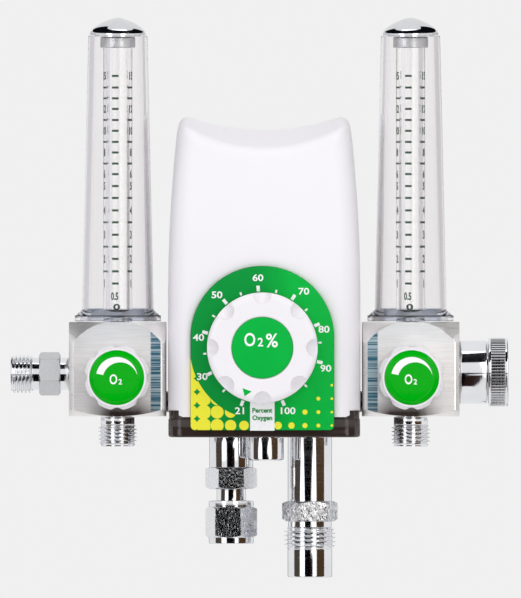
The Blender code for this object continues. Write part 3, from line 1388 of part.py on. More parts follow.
def auxiliary_barrel(shop, holder):
    """The right auxiliary outlet, and the knurled collar that its lip holds. Heights run outwards."""
    at = (FLOW_BLOCK_HALF_WIDTH + SEAT_GAP, 0, BARREL_Z)
    neck_end = BARREL_LENGTH + BARREL_NECK_LENGTH
    lip_start = neck_end - BARREL_LIP_LENGTH
    profile = [
        (BARREL_SOCKET_RADIUS, neck_end),
        (BARREL_LIP_RADIUS, neck_end),
        (BARREL_LIP_RADIUS, lip_start),
        (BARREL_NECK_RADIUS, lip_start),
        (BARREL_NECK_RADIUS, BARREL_LENGTH),
        (BARREL_RADIUS, BARREL_LENGTH),
        (BARREL_RADIUS, 0),
        (SPIGOT_RADIUS, 0),
        (SPIGOT_RADIUS, -SPIGOT_LENGTH),
        (CONNECTOR_BORE, -SPIGOT_LENGTH),
        (CONNECTOR_BORE, neck_end - BARREL_SOCKET_DEPTH),
        (BARREL_SOCKET_RADIUS, neck_end - BARREL_SOCKET_DEPTH),
    ]
    barrel = turned_mesh(profile, MIDDLE_SIDES, closed=True)
    shop.add("auxiliary_barrel", barrel, "chrome", holder, at, "+X")
    axis = shop.empty("collar_axis", at, holder)
    start = BARREL_LENGTH + RUNNING_GAP
    end = start + COLLAR_LENGTH
    bore = BARREL_NECK_RADIUS + RUNNING_GAP
    wide_bore = BARREL_LIP_RADIUS + RUNNING_GAP
    step = lip_start - RUNNING_GAP
    collar = [
        (COLLAR_RADIUS - COLLAR_CHAMFER, end),
        (COLLAR_RADIUS, end - COLLAR_CHAMFER),
        (COLLAR_RADIUS, start + COLLAR_CHAMFER),
        (COLLAR_RADIUS - COLLAR_CHAMFER, start),
        (bore, start),
        (bore, step),
        (wide_bore, step),
        (wide_bore, end),
    ]
    mesh = turned_mesh(collar, MIDDLE_SIDES, closed=True)
    shop.add("auxiliary_collar", mesh, "chrome", axis, (0, 0, 0), "+X")


def main():
    clear_scene()
    shop = Workshop()
    root = shop.empty("blender_origin", (0, 0, 0))
    screw_holes = slide_screws(shop, root)
    wall_slide(shop, root, screw_holes)
    back_plate(shop, root, screw_holes)
    cover_screw_holes = cover_screws(shop, root)
    front_cover(shop, root, cover_screw_holes)
    manifold_block(shop, root, screw_holes, cover_screw_holes)
    dial_panel(shop, root)
    mix_axis = mixing_valve(shop, root)
    mixing_knob(shop, mix_axis)
    balance_module(shop, root)
    oxygen_inlet(shop, root)
    air_inlet(shop, root)
    alarm_outlet(shop, root)
    connectors(shop, root)
    for name, sign in SIDES:
        holder = shop.empty(f"flowmeter_{name}", (sign * FLOW_X, -FLOW_DEPTH, 0), root)
        flow_block(shop, holder, name, sign)
        flow_valve(shop, holder, name)
        flow_tube(shop, holder, name)
        outlet_fitting(shop, holder, name)
        if sign < 0:
            auxiliary_fitting(shop, holder)
        else:
            auxiliary_barrel(shop, holder)


if __name__ == "__main__":
    main()
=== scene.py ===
"""The finished surfaces of a wall-hung air oxygen blender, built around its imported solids."""

import math

import bmesh
import bpy
from mathutils import Matrix, Vector


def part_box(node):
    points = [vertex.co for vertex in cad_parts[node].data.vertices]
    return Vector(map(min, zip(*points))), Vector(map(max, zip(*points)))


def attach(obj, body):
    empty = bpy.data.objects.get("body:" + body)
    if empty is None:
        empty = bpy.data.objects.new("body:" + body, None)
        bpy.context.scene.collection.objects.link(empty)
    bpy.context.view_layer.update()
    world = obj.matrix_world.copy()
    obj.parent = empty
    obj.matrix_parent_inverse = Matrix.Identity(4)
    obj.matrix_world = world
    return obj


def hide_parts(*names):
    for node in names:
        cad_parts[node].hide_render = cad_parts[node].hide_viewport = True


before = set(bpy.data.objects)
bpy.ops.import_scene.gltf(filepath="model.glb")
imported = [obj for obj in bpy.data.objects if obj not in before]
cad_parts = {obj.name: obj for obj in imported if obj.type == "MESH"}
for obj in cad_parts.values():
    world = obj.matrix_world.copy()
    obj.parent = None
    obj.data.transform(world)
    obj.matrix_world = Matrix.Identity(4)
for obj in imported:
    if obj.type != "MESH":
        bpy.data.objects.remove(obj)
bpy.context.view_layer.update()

bl_info = {
    "name": "Air oxygen blender",
    "version": (1, 0, 0),
    "blender": (4, 5, 0),
    "location": "3D Viewport > Sidebar > Air oxygen blender",
    "description": "Builds the covers, knobs, dials, tubes and fittings of a wall-hung gas blender",
    "category": "Object",
}

SIDES = ("left", "right")
MM = 0.001
FLOOR_Z = -0.45

# Where the two outlets leave the blocks, and the lower fittings the manifold block
OUTLET_TOP = -0.0432
FITTING_TOP = -0.0509

# Edges sharper than this angle, in degrees, show as edges
SHARP = 35.0
# Faces larger than this, in square metres, are shaded flat
FLAT_AREA = 0.000004
# Ink stands this far off its surface
INK_GAP = 0.00001
# How deep the stems of the fittings go into the block or the housing, and their radius
STEM_END = -0.008
STEM = 0.005
# Length of a drill that goes through anything
THROUGH = 0.05

# Dark cards: how far they stand off, and the elevation down to which slanted sides run, in degrees
CARD_REACH = 0.5
SLANT_END = -10.5

# Camera: its lens, how far it stands off, and the picture's pixels and pixels to the millimetre
SENSOR_WIDTH = 36.0
CAMERA_AWAY = 5.0
PICTURE_HEIGHT = 598
PIXELS_PER_MM = 2.7

# Facets round large, middling and small turned pieces
LARGE, MIDDLE, SMALL = 128, 80, 40

# Front cover: the same loft as the solid's, in metres
COVER_HALF_WIDTH = 0.0355
COVER_TAPER = 0.0034
COVER_FRONT = 0.062
COVER_WALL = 0.0024
COVER_BOTTOM = -0.0431
COVER_TOP = 0.0634
COVER_TOP_RISE = 0.0061
COVER_BROW = 0.0559
COVER_BROW_RISE = 0.0100
COVER_BROW_RADIUS = 0.0050
COVER_EDGE_RADIUS = 0.009
COVER_CORNER_RADIUS = 0.005
COVER_FOOT_RISE = 0.0024
COVER_FOOT_RUN = 0.0055
COVER_BULGE = 0.0016
COVER_LEAN = 0.005
BACK_Y = -0.0083

# Dial panel, an arch centred on this X
PANEL_X = -0.0007
PANEL_HALF_WIDTH = 0.0264
PANEL_ARCH_Z = -0.0139
PANEL_BOTTOM = -0.0479
PANEL_CORNER = 0.0016
MIX_Z = -0.0175

# Dial marks: value and its turn, in degrees clockwise from the top
DIAL_MARKS = (
    (21, -160), (25, -138.2), (30, -116.3), (35, -96.1), (40, -75.2), (45, -57.1), (50, -39.1),
    (55, -21.8), (60, -4), (65, 13.9), (70, 31.7), (75, 49.3), (80, 67.4), (85, 85.1), (90, 104.3),
    (95, 131.3), (100, 159.3),
)

# Centres of the dial numbers from the knob's axis, in millimetres
DIAL_NUMBERS = (
    (21, -8.4, -23.7), (30, -22.1, -11.1), (40, -23.5, 3.3), (50, -16.7, 19.0), (60, -1.6, 25.3),
    (70, 15.3, 20.3), (80, 22.7, 6.3), (90, 23.4, -8.1), (100, 9.5, -23.7),
)

# Flow tube marks: litres per minute and height in millimetres
TUBE_MARKS = (
    (15, 82.8), (14, 78.5), (13, 74.5), (12, 70.6), (11, 66.5), (10, 62.5), (9, 58.4), (8, 54.5),
    (7, 50.4), (6, 46.5), (5, 42.1), (4.5, 37.7), (4, 33.1), (3.5, 28.7), (3, 24.1), (2.5, 19.7),
    (2, 15.2), (1.5, 10.6), (1, 6.1),
)

# Where a piece's own +Z points
AXES = {
    "+Z": Matrix.Identity(4),
    "-Z": Matrix.Rotation(math.pi, 4, "X"),
    "-Y": Matrix.Rotation(math.pi / 2, 4, "X"),
    "+Y": Matrix.Rotation(-math.pi / 2, 4, "X"),
    "+X": Matrix.Rotation(math.pi / 2, 4, "Y"),
    "-X": Matrix.Rotation(-math.pi / 2, 4, "Y"),
}


def linear(hex_colour):
    """An sRGB hex colour as a linear one."""
    channels = [int(hex_colour[i : i + 2], 16) / 255 for i in (1, 3, 5)]
    return tuple(c / 12.92 if c <= 0.04045 else ((c + 0.055) / 1.055) ** 2.4 for c in channels)


def colour_of(name, hint, hex_colour):
    return bpy.props.FloatVectorProperty(
        name=name, description=hint, default=linear(hex_colour), subtype="COLOR", min=0.0, max=1.0
    )


def length_of(name, hint, metres):
    return bpy.props.FloatProperty(name=name, description=hint, default=metres, unit="LENGTH", min=0.0)


class BlenderUnitSizes(bpy.types.PropertyGroup):
    number_height: length_of("Dial numbers", "Height of the numbers round the mixing knob", 0.00255)
    mark_radius: length_of("Dial mark radius", "How far the dial marks are from the knob's axis", 0.0218)
    print_lift: length_of("Print thickness", "How far printed ink stands above its surface", 0.00005)
    rim_width: length_of("Cover rim", "Width of the soft edge round the cover's arch", 0.0045)
    rim_drop: length_of("Cover rim drop", "How far that edge falls back towards the panel", 0.0012)
    outlet_pitch: length_of("Outlet thread pitch", "Pitch of the 9/16-18 outlet threads", 0.00141)
    air_pitch: length_of("Air thread pitch", "Pitch of the 3/4-16 air inlet thread", 0.00159)
    knurl_ribs: bpy.props.IntProperty(
        name="Knurl ribs", description="Ribs round the quick-connect collar", default=68, min=8, max=200
    )


class BlenderUnitColours(bpy.types.PropertyGroup):
    white: colour_of("White plastic", "Cover and knobs", "#EFEDEF")
    dark: colour_of("Dark plastic", "Manifold block", "#352A27")
    green: colour_of("Dial green", "Dial panel and knob discs", "#00B440")
    deep_green: colour_of("Deep green", "Scale ring on the dial's left", "#04933A")
    flow_green: colour_of("Flow disc green", "Discs of the flow knobs", "#00AA10")
    yellow: colour_of("Dial yellow", "Dot gradient on the dial", "#EFEB3E")
    ink: colour_of("White ink", "Numbers and marks on green", "#FAFBFA")
    tube_ink: colour_of("Green ink", "Graduations of the flow tubes", "#004A24")
    chrome: colour_of("Chrome", "Plated fittings", "#EFF0F3")
    aluminium: colour_of("Aluminium", "Flowmeter blocks", "#FBF9F8")
    backdrop: colour_of("Backdrop", "Floor and background", "#F0F0F0")


def colour(name):
    return (*getattr(bpy.context.scene.blender_unit_colours, name), 1.0)


def size(name):
    return getattr(bpy.context.scene.blender_unit_sizes, name)


# Meshes


def evaluated_mesh(thing):
    """The thing's final mesh. The thing itself is removed."""
    graph = bpy.context.evaluated_depsgraph_get()
    mesh = bpy.data.meshes.new_from_object(thing.evaluated_get(graph))
    bpy.data.objects.remove(thing, do_unlink=True)
    return mesh


def linked(name, data):
    thing = bpy.data.objects.new(name, data)
    bpy.context.scene.collection.objects.link(thing)
    return thing


def edged(mesh, angle=SHARP):
    """Smooth shading, but for the edges sharper than the angle."""
    mesh.shade_smooth()
    mesh.set_sharp_from_angle(angle=math.radians(angle))
    return mesh


def mesh_from(work, angle=SHARP):
    """A finished mesh, smooth but for the edges sharper than the angle."""
    bmesh.ops.recalc_face_normals(work, faces=work.faces)
    mesh = bpy.data.meshes.new("shape")
    work.to_mesh(mesh)
    work.free()
    return edged(mesh, angle)


def eased(corners, steps=4):
    """A profile whose corners are rounded. Each corner is (radius, height) or (radius, height, ease)."""
    points = []
    for i, corner in enumerate(corners):
        here = Vector(corner[:2])
        ease = corner[2] if len(corner) > 2 else 0.0
        if not ease or i in (0, len(corners) - 1):
            points.append(tuple(here))
            continue
        before = Vector(corners[i - 1][:2]) - here
        after = Vector(corners[i + 1][:2]) - here
        start = here + before.normalized() * min(ease, before.length * 0.49)
        end = here + after.normalized() * min(ease, after.length * 0.49)
        for k in range(steps + 1):
            t = k / steps
            points.append(tuple(start * (1 - t) ** 2 + here * 2 * t * (1 - t) + end * t**2))
    return points


def lathe(profile, sides, closed=False, shape=None, angle=SHARP):
    """A turned solid. The shape function, if any, changes radius and height by the turn from the top."""
    work = bmesh.new()
    rings = []
    for radius, height in profile:
        if radius < 0.000001:
            rings.append([work.verts.new((0, 0, height))])
            continue
        ring = []
        for i in range(sides):
            turn = math.tau * i / sides
            r, h = shape(radius, height, turn) if shape else (radius, height)
            ring.append(work.verts.new((r * math.sin(turn), r * math.cos(turn), h)))
        rings.append(ring)
    pairs = list(zip(rings, rings[1:])) + ([(rings[-1], rings[0])] if closed else [])
    for upper, lower in pairs:
        if len(upper) == len(lower) == 1:
            continue
        for i in range(sides):
            j = (i + 1) % sides
            corners = [
                upper[i % len(upper)], lower[i % len(lower)], lower[j % len(lower)], upper[j % len(upper)]
            ]
            work.faces.new(list(dict.fromkeys(corners)))
    return mesh_from(work, angle)


def rod(radius, top, bottom, sides=SMALL):
    """A plain round bar along Z."""
    return lathe([(0, top), (radius, top), (radius, bottom), (0, bottom)], sides)


def sleeve(corners, sides=LARGE):
    """A turned ring or tube from a closed profile, its corners eased."""
    return lathe(eased(corners), sides, closed=True)


def rectangle(low, high):
    return [(low[0], low[1]), (high[0], low[1]), (high[0], high[1]), (low[0], high[1])]


def prism(outline, bottom, top, ease=0.0, segments=3):
    """A flat outline of (x, y) points raised along Z, with its rims rounded."""
    work = bmesh.new()
    lower = [work.verts.new((x, y, bottom)) for x, y in outline]
    upper = [work.verts.new((x, y, top)) for x, y in outline]
    work.faces.new(lower)
    work.faces.new(upper)
    for i in range(len(outline)):
        j = (i + 1) % len(outline)
        work.faces.new((lower[i], lower[j], upper[j], upper[i]))
    bmesh.ops.recalc_face_normals(work, faces=work.faces)
    if ease:
        rims = [e for e in work.edges if abs(e.verts[0].co.z - e.verts[1].co.z) < 0.000001]
        bmesh.ops.bevel(work, geom=rims, offset=ease, segments=segments, profile=0.5, affect="EDGES")
    return mesh_from(work)


def arc(centre, radius, start, end, steps):
    turns = [math.radians(start + (end - start) * i / steps) for i in range(steps + 1)]
    return [(centre[0] + radius * math.cos(a), centre[1] + radius * math.sin(a)) for a in turns]


def arch(margin=0.0):
    """The dial panel's outline, widened by a margin."""
    half = PANEL_HALF_WIDTH + margin
    corner = PANEL_CORNER + margin
    low = PANEL_BOTTOM - margin + corner
    outline = arc((-half + corner, low), corner, 180, 270, 6)
    outline += arc((half - corner, low), corner, 270, 360, 6)
    outline += arc((0, PANEL_ARCH_Z), half, 0, 180, 64)
    return [(PANEL_X + x, z) for x, z in outline]


def placed(mesh, axis="+Z", at=(0, 0, 0), turn=0.0):
    """Moves a mesh into its place, with its own +Z along the axis."""
    mesh.transform(Matrix.Translation(at) @ AXES[axis] @ Matrix.Rotation(math.radians(turn), 4, "Z"))
    return mesh


def carved(mesh, *steps):
    """Booleans: each step is an operation and the mesh that it takes."""
    thing = linked("carved", mesh)
    tools = []
    for operation, cutter in steps:
        tool = linked("tool", cutter)
        modifier = thing.modifiers.new("carve", "BOOLEAN")
        modifier.operation = operation
        modifier.object = tool
        tools.append(tool)
    made = evaluated_mesh(thing)
    for tool in tools:
        bpy.data.objects.remove(tool, do_unlink=True)
    return made


def smooth(mesh):
    """Curves are shaded smooth. The large flats stay flat."""
    edged(mesh)
    for polygon in mesh.polygons:
        polygon.use_smooth = polygon.area < FLAT_AREA
    return mesh


def softened(mesh, width, segments=2, angle=30.0):
    """Rounds every edge that is sharper than the angle."""
    thing = linked("softened", mesh)
    modifier = thing.modifiers.new("soften", "BEVEL")
    modifier.width = width
    modifier.segments = segments
    modifier.limit_method = "ANGLE"
    modifier.angle_limit = math.radians(angle)
    modifier.use_clamp_overlap = True
    modifier.harden_normals = False
    return smooth(evaluated_mesh(thing))


def merged_copy(node, ease=0.0):
    """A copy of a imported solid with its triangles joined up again."""
    work = bmesh.new()
    work.from_mesh(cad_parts[node].data)
    bmesh.ops.remove_doubles(work, verts=work.verts, dist=0.000002)
    bmesh.ops.dissolve_limit(work, angle_limit=math.radians(0.5), verts=work.verts, edges=work.edges)
    mesh = mesh_from(work)
    return softened(mesh, ease) if ease else mesh


def hexagon_bar(corners, bottom, top, turn=0.0):
    """A chamfered hexagon bar. Unturned, two corners lie on its own X."""
    flats = corners / 2 * math.cos(math.pi / 6)
    outer = corners / 2 + MM
    rim = flats * 0.98
    drop = (outer - rim) * math.tan(math.radians(30))
    bar = prism(arc((0, 0), corners / 2, turn, turn + 300, 5), bottom, top)
    chamfer = lathe([(0, top), (rim, top), (outer, top - drop), (outer, bottom + drop), (rim, bottom),
                     (0, bottom)], LARGE)
    return softened(carved(bar, ("INTERSECT", chamfer)), 0.00018)


def joined(name, meshes):
    """One object from several meshes, each with its own material."""
    work = bmesh.new()
    materials = []
    for mesh in meshes:
        old = len(work.faces)
        work.from_mesh(mesh)
        work.faces.ensure_lookup_table()
        places = []
        for material in mesh.materials or [None]:
            if material not in materials:
                materials.append(material)
            places.append(materials.index(material))
        for face in work.faces[old:]:
            face.material_index = places[min(face.material_index, len(places) - 1)]
    mesh = bpy.data.meshes.new(name)
    work.to_mesh(mesh)
    work.free()
    for material in materials:
        mesh.materials.append(material)
    return linked(name, mesh)


def dressed(mesh, finish_name, axis="+Z", at=(0, 0, 0)):
    """A mesh in its place, with one finish."""
    placed(mesh, axis, at).materials.clear()
    mesh.materials.append(MATERIALS[finish_name])
    return mesh


def piece(name, body, slot, meshes, nodes=()):
    """A finished piece: it rides on its body and stands for these solids. Its slot is not used."""
    made = joined(name, meshes)
    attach(made, body)
    if nodes:
        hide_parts(*nodes)
    return made


def words(text, height, depth, bold=0.0, measured=True):
    """Lettering as a mesh, centred, facing its own +Z. Its height is that of the whole text if measured."""
    curve = bpy.data.curves.new("words", "FONT")
    curve.body = text
    curve.align_x = "CENTER"
    curve.align_y = "CENTER"
    curve.size = 1.0
    curve.offset = bold
    curve.extrude = 0.01
    curve.resolution_u = 4
    mesh = evaluated_mesh(linked("words", curve))
    xs = [v.co.x for v in mesh.vertices]
    ys = [v.co.y for v in mesh.vertices]
    scale = height / (max(ys) - min(ys)) if measured else height
    middle_x, middle_y = (min(xs) + max(xs)) / 2, (min(ys) + max(ys)) / 2
    for vertex in mesh.vertices:
        x, y, z = vertex.co
        level = depth / 2 + math.copysign(depth / 2, z)
        vertex.co = ((x - middle_x) * scale, (y - middle_y) * scale, level)
    return mesh


# Finishes


def add_node(tree, kind, inputs=None, **settings):
    """Adds a node with its settings. Inputs are values, or the nodes and sockets that feed them."""
    node = tree.nodes.new(kind)
    for name, value in settings.items():
        setattr(node, name, value)
    for key, value in (inputs or {}).items():
        if isinstance(value, bpy.types.Node):
            value = value.outputs[0]
        if isinstance(value, bpy.types.NodeSocket):
            tree.links.new(value, node.inputs[key])
        else:
            node.inputs[key].default_value = value
    return node


def looked_up(terms, made):
    """A step's inputs: names stand for what earlier steps made."""
    return {i: made[term] if isinstance(term, str) else term for i, term in enumerate(terms)}


def shaded(base, share):
    return (base[0] * share, base[1] * share, base[2] * share, 1.0)


def solid_colour(hex_colour):
    return (*linear(hex_colour), 1.0)


EVEN = (1.0, 1.0, 1.0)


def finish(name, base, roughness, metallic=0.0, tone=None, polish=None, relief=None, **sockets):
    """A material whose tone, polish and relief follow noise of real sizes.

    A layer is (spacing in metres, stretch along the axes, first, second). For the tone these are shares of
    the base colour, for the polish roughnesses, and for the relief its height in metres and its strength.
    """
    material = bpy.data.materials.new(name)
    material.use_nodes = True
    tree = material.node_tree
    shader = tree.nodes["Principled BSDF"]
    values = {"Base Color": base, "Roughness": roughness, "Metallic": metallic, **sockets}
    for socket, value in values.items():
        shader.inputs[socket.replace("_", " ")].default_value = value
    place = add_node(tree, "ShaderNodeTexCoord").outputs["Object"]
    for socket, layer in (("Base Color", tone), ("Roughness", polish), ("Normal", relief)):
        if not layer:
            continue
        spacing, stretch, first, second = layer
        mapping = add_node(tree, "ShaderNodeMapping", {"Vector": place, "Scale": stretch})
        noise = {"Vector": mapping, "Scale": 1 / spacing, "Detail": 3.0}
        made = add_node(tree, "ShaderNodeTexNoise", noise)
        if socket == "Normal":
            made = add_node(tree, "ShaderNodeBump", {"Height": made, "Distance": first, "Strength": second})
        else:
            low, high = (0.0, 1.0) if socket == "Base Color" else (first, second)
            limits = {"Value": made, "From Min": 0.35, "From Max": 0.65, "To Min": low, "To Max": high}
            made = add_node(tree, "ShaderNodeMapRange", limits)
        made = made.outputs[0]
        if socket == "Base Color":
            tones = {0: made, 6: shaded(base, first), 7: shaded(base, second)}
            made = add_node(tree, "ShaderNodeMix", tones, data_type="RGBA").outputs[2]
        tree.links.new(made, shader.inputs[socket])
    return material


def dial_film():
    """Screen print under clear film: flat even green, with yellow halftone dots that shrink across it."""
    base = colour("green")
    material = finish(
        "printed dial film", base, 0.35, IOR=1.49, Specular_IOR_Level=0.1,
        tone=(0.004, EVEN, 0.96, 1.01), polish=(0.002, EVEN, 0.32, 0.39),
        relief=(0.0006, EVEN, 0.000003, 1.0),
    )
    tree = material.node_tree
    printed = tree.nodes["Principled BSDF"].inputs["Base Color"]
    split = add_node(tree, "ShaderNodeSeparateXYZ", {0: tree.nodes["Texture Coordinate"].outputs["Object"]})
    # Millimetres from the knob's axis. A dot's row and column are counted in pitches.
    pitch, first_row = 4.95, 28.7
    made = {"X": split.outputs["X"], "Z": split.outputs["Z"]}
    steps = [
        ("x", "MULTIPLY_ADD", "X", 1000.0, -1000.0 * PANEL_X),
        ("z", "MULTIPLY_ADD", "Z", 1000.0, -1000.0 * MIX_Z), ("x2", "MULTIPLY", "x", "x"),
        ("reach2", "MULTIPLY_ADD", "z", "z", "x2"), ("reach", "SQRT", "reach2"),
        ("row", "MULTIPLY_ADD", "z", 1 / pitch, first_row / pitch), ("row_at", "ROUND", "row"),
        ("row_off", "SUBTRACT", "row", "row_at"), ("row_off2", "MULTIPLY", "row_off", "row_off"),
        ("z_at", "MULTIPLY_ADD", "row_at", pitch, -first_row), ("z_at2", "MULTIPLY", "z_at", "z_at"),
        ("low", "LESS_THAN", "z", -0.5),
    ]
    for side, first, large, small, far in (("left", -21.6, 2.72, 1.75, 3), ("right", 5.8, 1.4, 0.45, 4)):
        steps += [
            ("column", "MULTIPLY_ADD", "x", 1 / pitch, -first / pitch), ("at", "ROUND", "column"),
            ("off", "SUBTRACT", "column", "at"), ("away2", "MULTIPLY_ADD", "off", "off", "row_off2"),
            ("away", "SQRT", "away2"),
            ("size", "MULTIPLY_ADD", "at", (small - large) / far / pitch, large / pitch),
            ("size", "MAXIMUM", "size", small / pitch), ("size", "MINIMUM", "size", large / pitch),
            ("dot", "GREATER_THAN", "size", "away"), ("x_at", "MULTIPLY_ADD", "at", pitch, first),
            ("at2", "MULTIPLY_ADD", "x_at", "x_at", "z_at2"), ("reach_at", "SQRT", "at2"),
        ]
        if side == "left":
            steps += [("clear", "GREATER_THAN", "reach", 26.7), ("own", "LESS_THAN", "x", -3.0)]
        else:
            steps += [("clear", "GREATER_THAN", "reach_at", 27.2), ("own", "GREATER_THAN", "x", 3.4)]
        steps += [("dot", "MULTIPLY", "dot", "clear"), (side, "MULTIPLY", "dot", "own")]
    steps += [("dots", "MAXIMUM", "left", "right"), ("dots", "MULTIPLY", "dots", "low"),
              ("ring", "MULTIPLY_ADD", "x", -0.075, 0.85)]
    for name, operation, *terms in steps:
        inputs = looked_up(terms, made)
        settings = {"operation": operation, "use_clamp": name == "ring"}
        made[name] = add_node(tree, "ShaderNodeMath", inputs, **settings).outputs[0]
    worn = printed.links[0].from_socket
    deep = {0: made["ring"], 6: worn, 7: colour("deep_green")}
    greens = add_node(tree, "ShaderNodeMix", deep, data_type="RGBA").outputs[2]
    dotted = {0: made["dots"], 6: greens, 7: colour("yellow")}
    tree.links.new(add_node(tree, "ShaderNodeMix", dotted, data_type="RGBA").outputs[2], printed)
    return material


def turned_face():
    """Aluminium, fly-cut, with level cutter lines and painted light: a broad pale blue painted highlight
    towards the top, a painted blue reflection on the inner side and painted shade at its foot.
    """
    base = colour("aluminium")
    # Real cutter lines are finer. These are as coarse as they need to be to show.
    cutter = (1.0, 1.0, 24.0)
    material = finish(
        "fly-cut aluminium face with painted light", base, 0.45, 1.0,
        tone=(0.010, cutter, 1.0, 0.9), polish=(0.006, (1.0, 1.0, 40.0), 0.36, 0.48),
        relief=(0.010, cutter, 0.00002, 0.4),
    )
    tree = material.node_tree
    cut = tree.nodes["Principled BSDF"].inputs["Base Color"]
    place = tree.nodes["Texture Coordinate"].outputs["Object"]
    split = add_node(tree, "ShaderNodeSeparateXYZ", {0: place})
    made = {"X": split.outputs["X"], "Z": split.outputs["Z"]}
    # Metres from the flow knob's axis. The masks place painted light: edge keeps the painted reflection
    # inwards, rise lays a painted highlight towards the top, and fall, near and foot lay painted shade
    # below the knob, which leans towards the housing.
    for name, operation, *terms in (
        ("in", "ABSOLUTE", "X"), ("edge", "MULTIPLY_ADD", "in", -2500.0, 105.2), ("w", "ADD", "Z", 0.0285),
        ("fall", "MULTIPLY_ADD", "w", -185.0, -1.4), ("aside", "SUBTRACT", "in", 0.0515),
        ("aside", "ABSOLUTE", "aside"), ("near", "MULTIPLY_ADD", "aside", -100.0, 1.5),
        ("foot", "MULTIPLY", "fall", "near"), ("rise", "MULTIPLY_ADD", "w", 60.0, -0.45),
        ("rise", "MULTIPLY", "rise", 0.45),
    ):
        inputs = looked_up(terms, made)
        settings = {"operation": operation, "use_clamp": name in ("edge", "fall", "near", "foot", "rise")}
        made[name] = add_node(tree, "ShaderNodeMath", inputs, **settings).outputs[0]
    # Painted reflection: blue bands across the inner side of the face, where it mirrors dark blue
    # surroundings. The edge mask keeps them inwards.
    mapping = add_node(tree, "ShaderNodeMapping", {"Vector": place, "Scale": (0.5, 0.5, 36.0)})
    bands = add_node(tree, "ShaderNodeTexNoise", {"Vector": mapping, "Scale": 50.0, "Detail": 2.0})
    bands = add_node(tree, "ShaderNodeMapRange", {"Value": bands, "From Min": 0.42, "From Max": 0.58})
    painted_teal_reflection = {0: bands, 6: solid_colour("#3F7087"), 7: solid_colour("#B4C9D2")}
    painted_teal_reflection = add_node(tree, "ShaderNodeMix", painted_teal_reflection, data_type="RGBA").outputs[2]
    made["cut"] = cut.links[0].from_socket
    # Painted light over the cut metal: the pale blue painted highlight, the blue painted reflection and the
    # dark painted shade.
    painted_highlight, painted_foot_shade = solid_colour("#C9D6E2"), solid_colour("#4A403C")
    for share, tone in (("rise", painted_highlight), ("edge", painted_teal_reflection), ("foot", painted_foot_shade)):
        mix = {0: made[share], 6: made["cut"], 7: tone}
        made["cut"] = add_node(tree, "ShaderNodeMix", mix, data_type="RGBA").outputs[2]
    tree.links.new(made["cut"], cut)
    return material


MATERIALS = {}


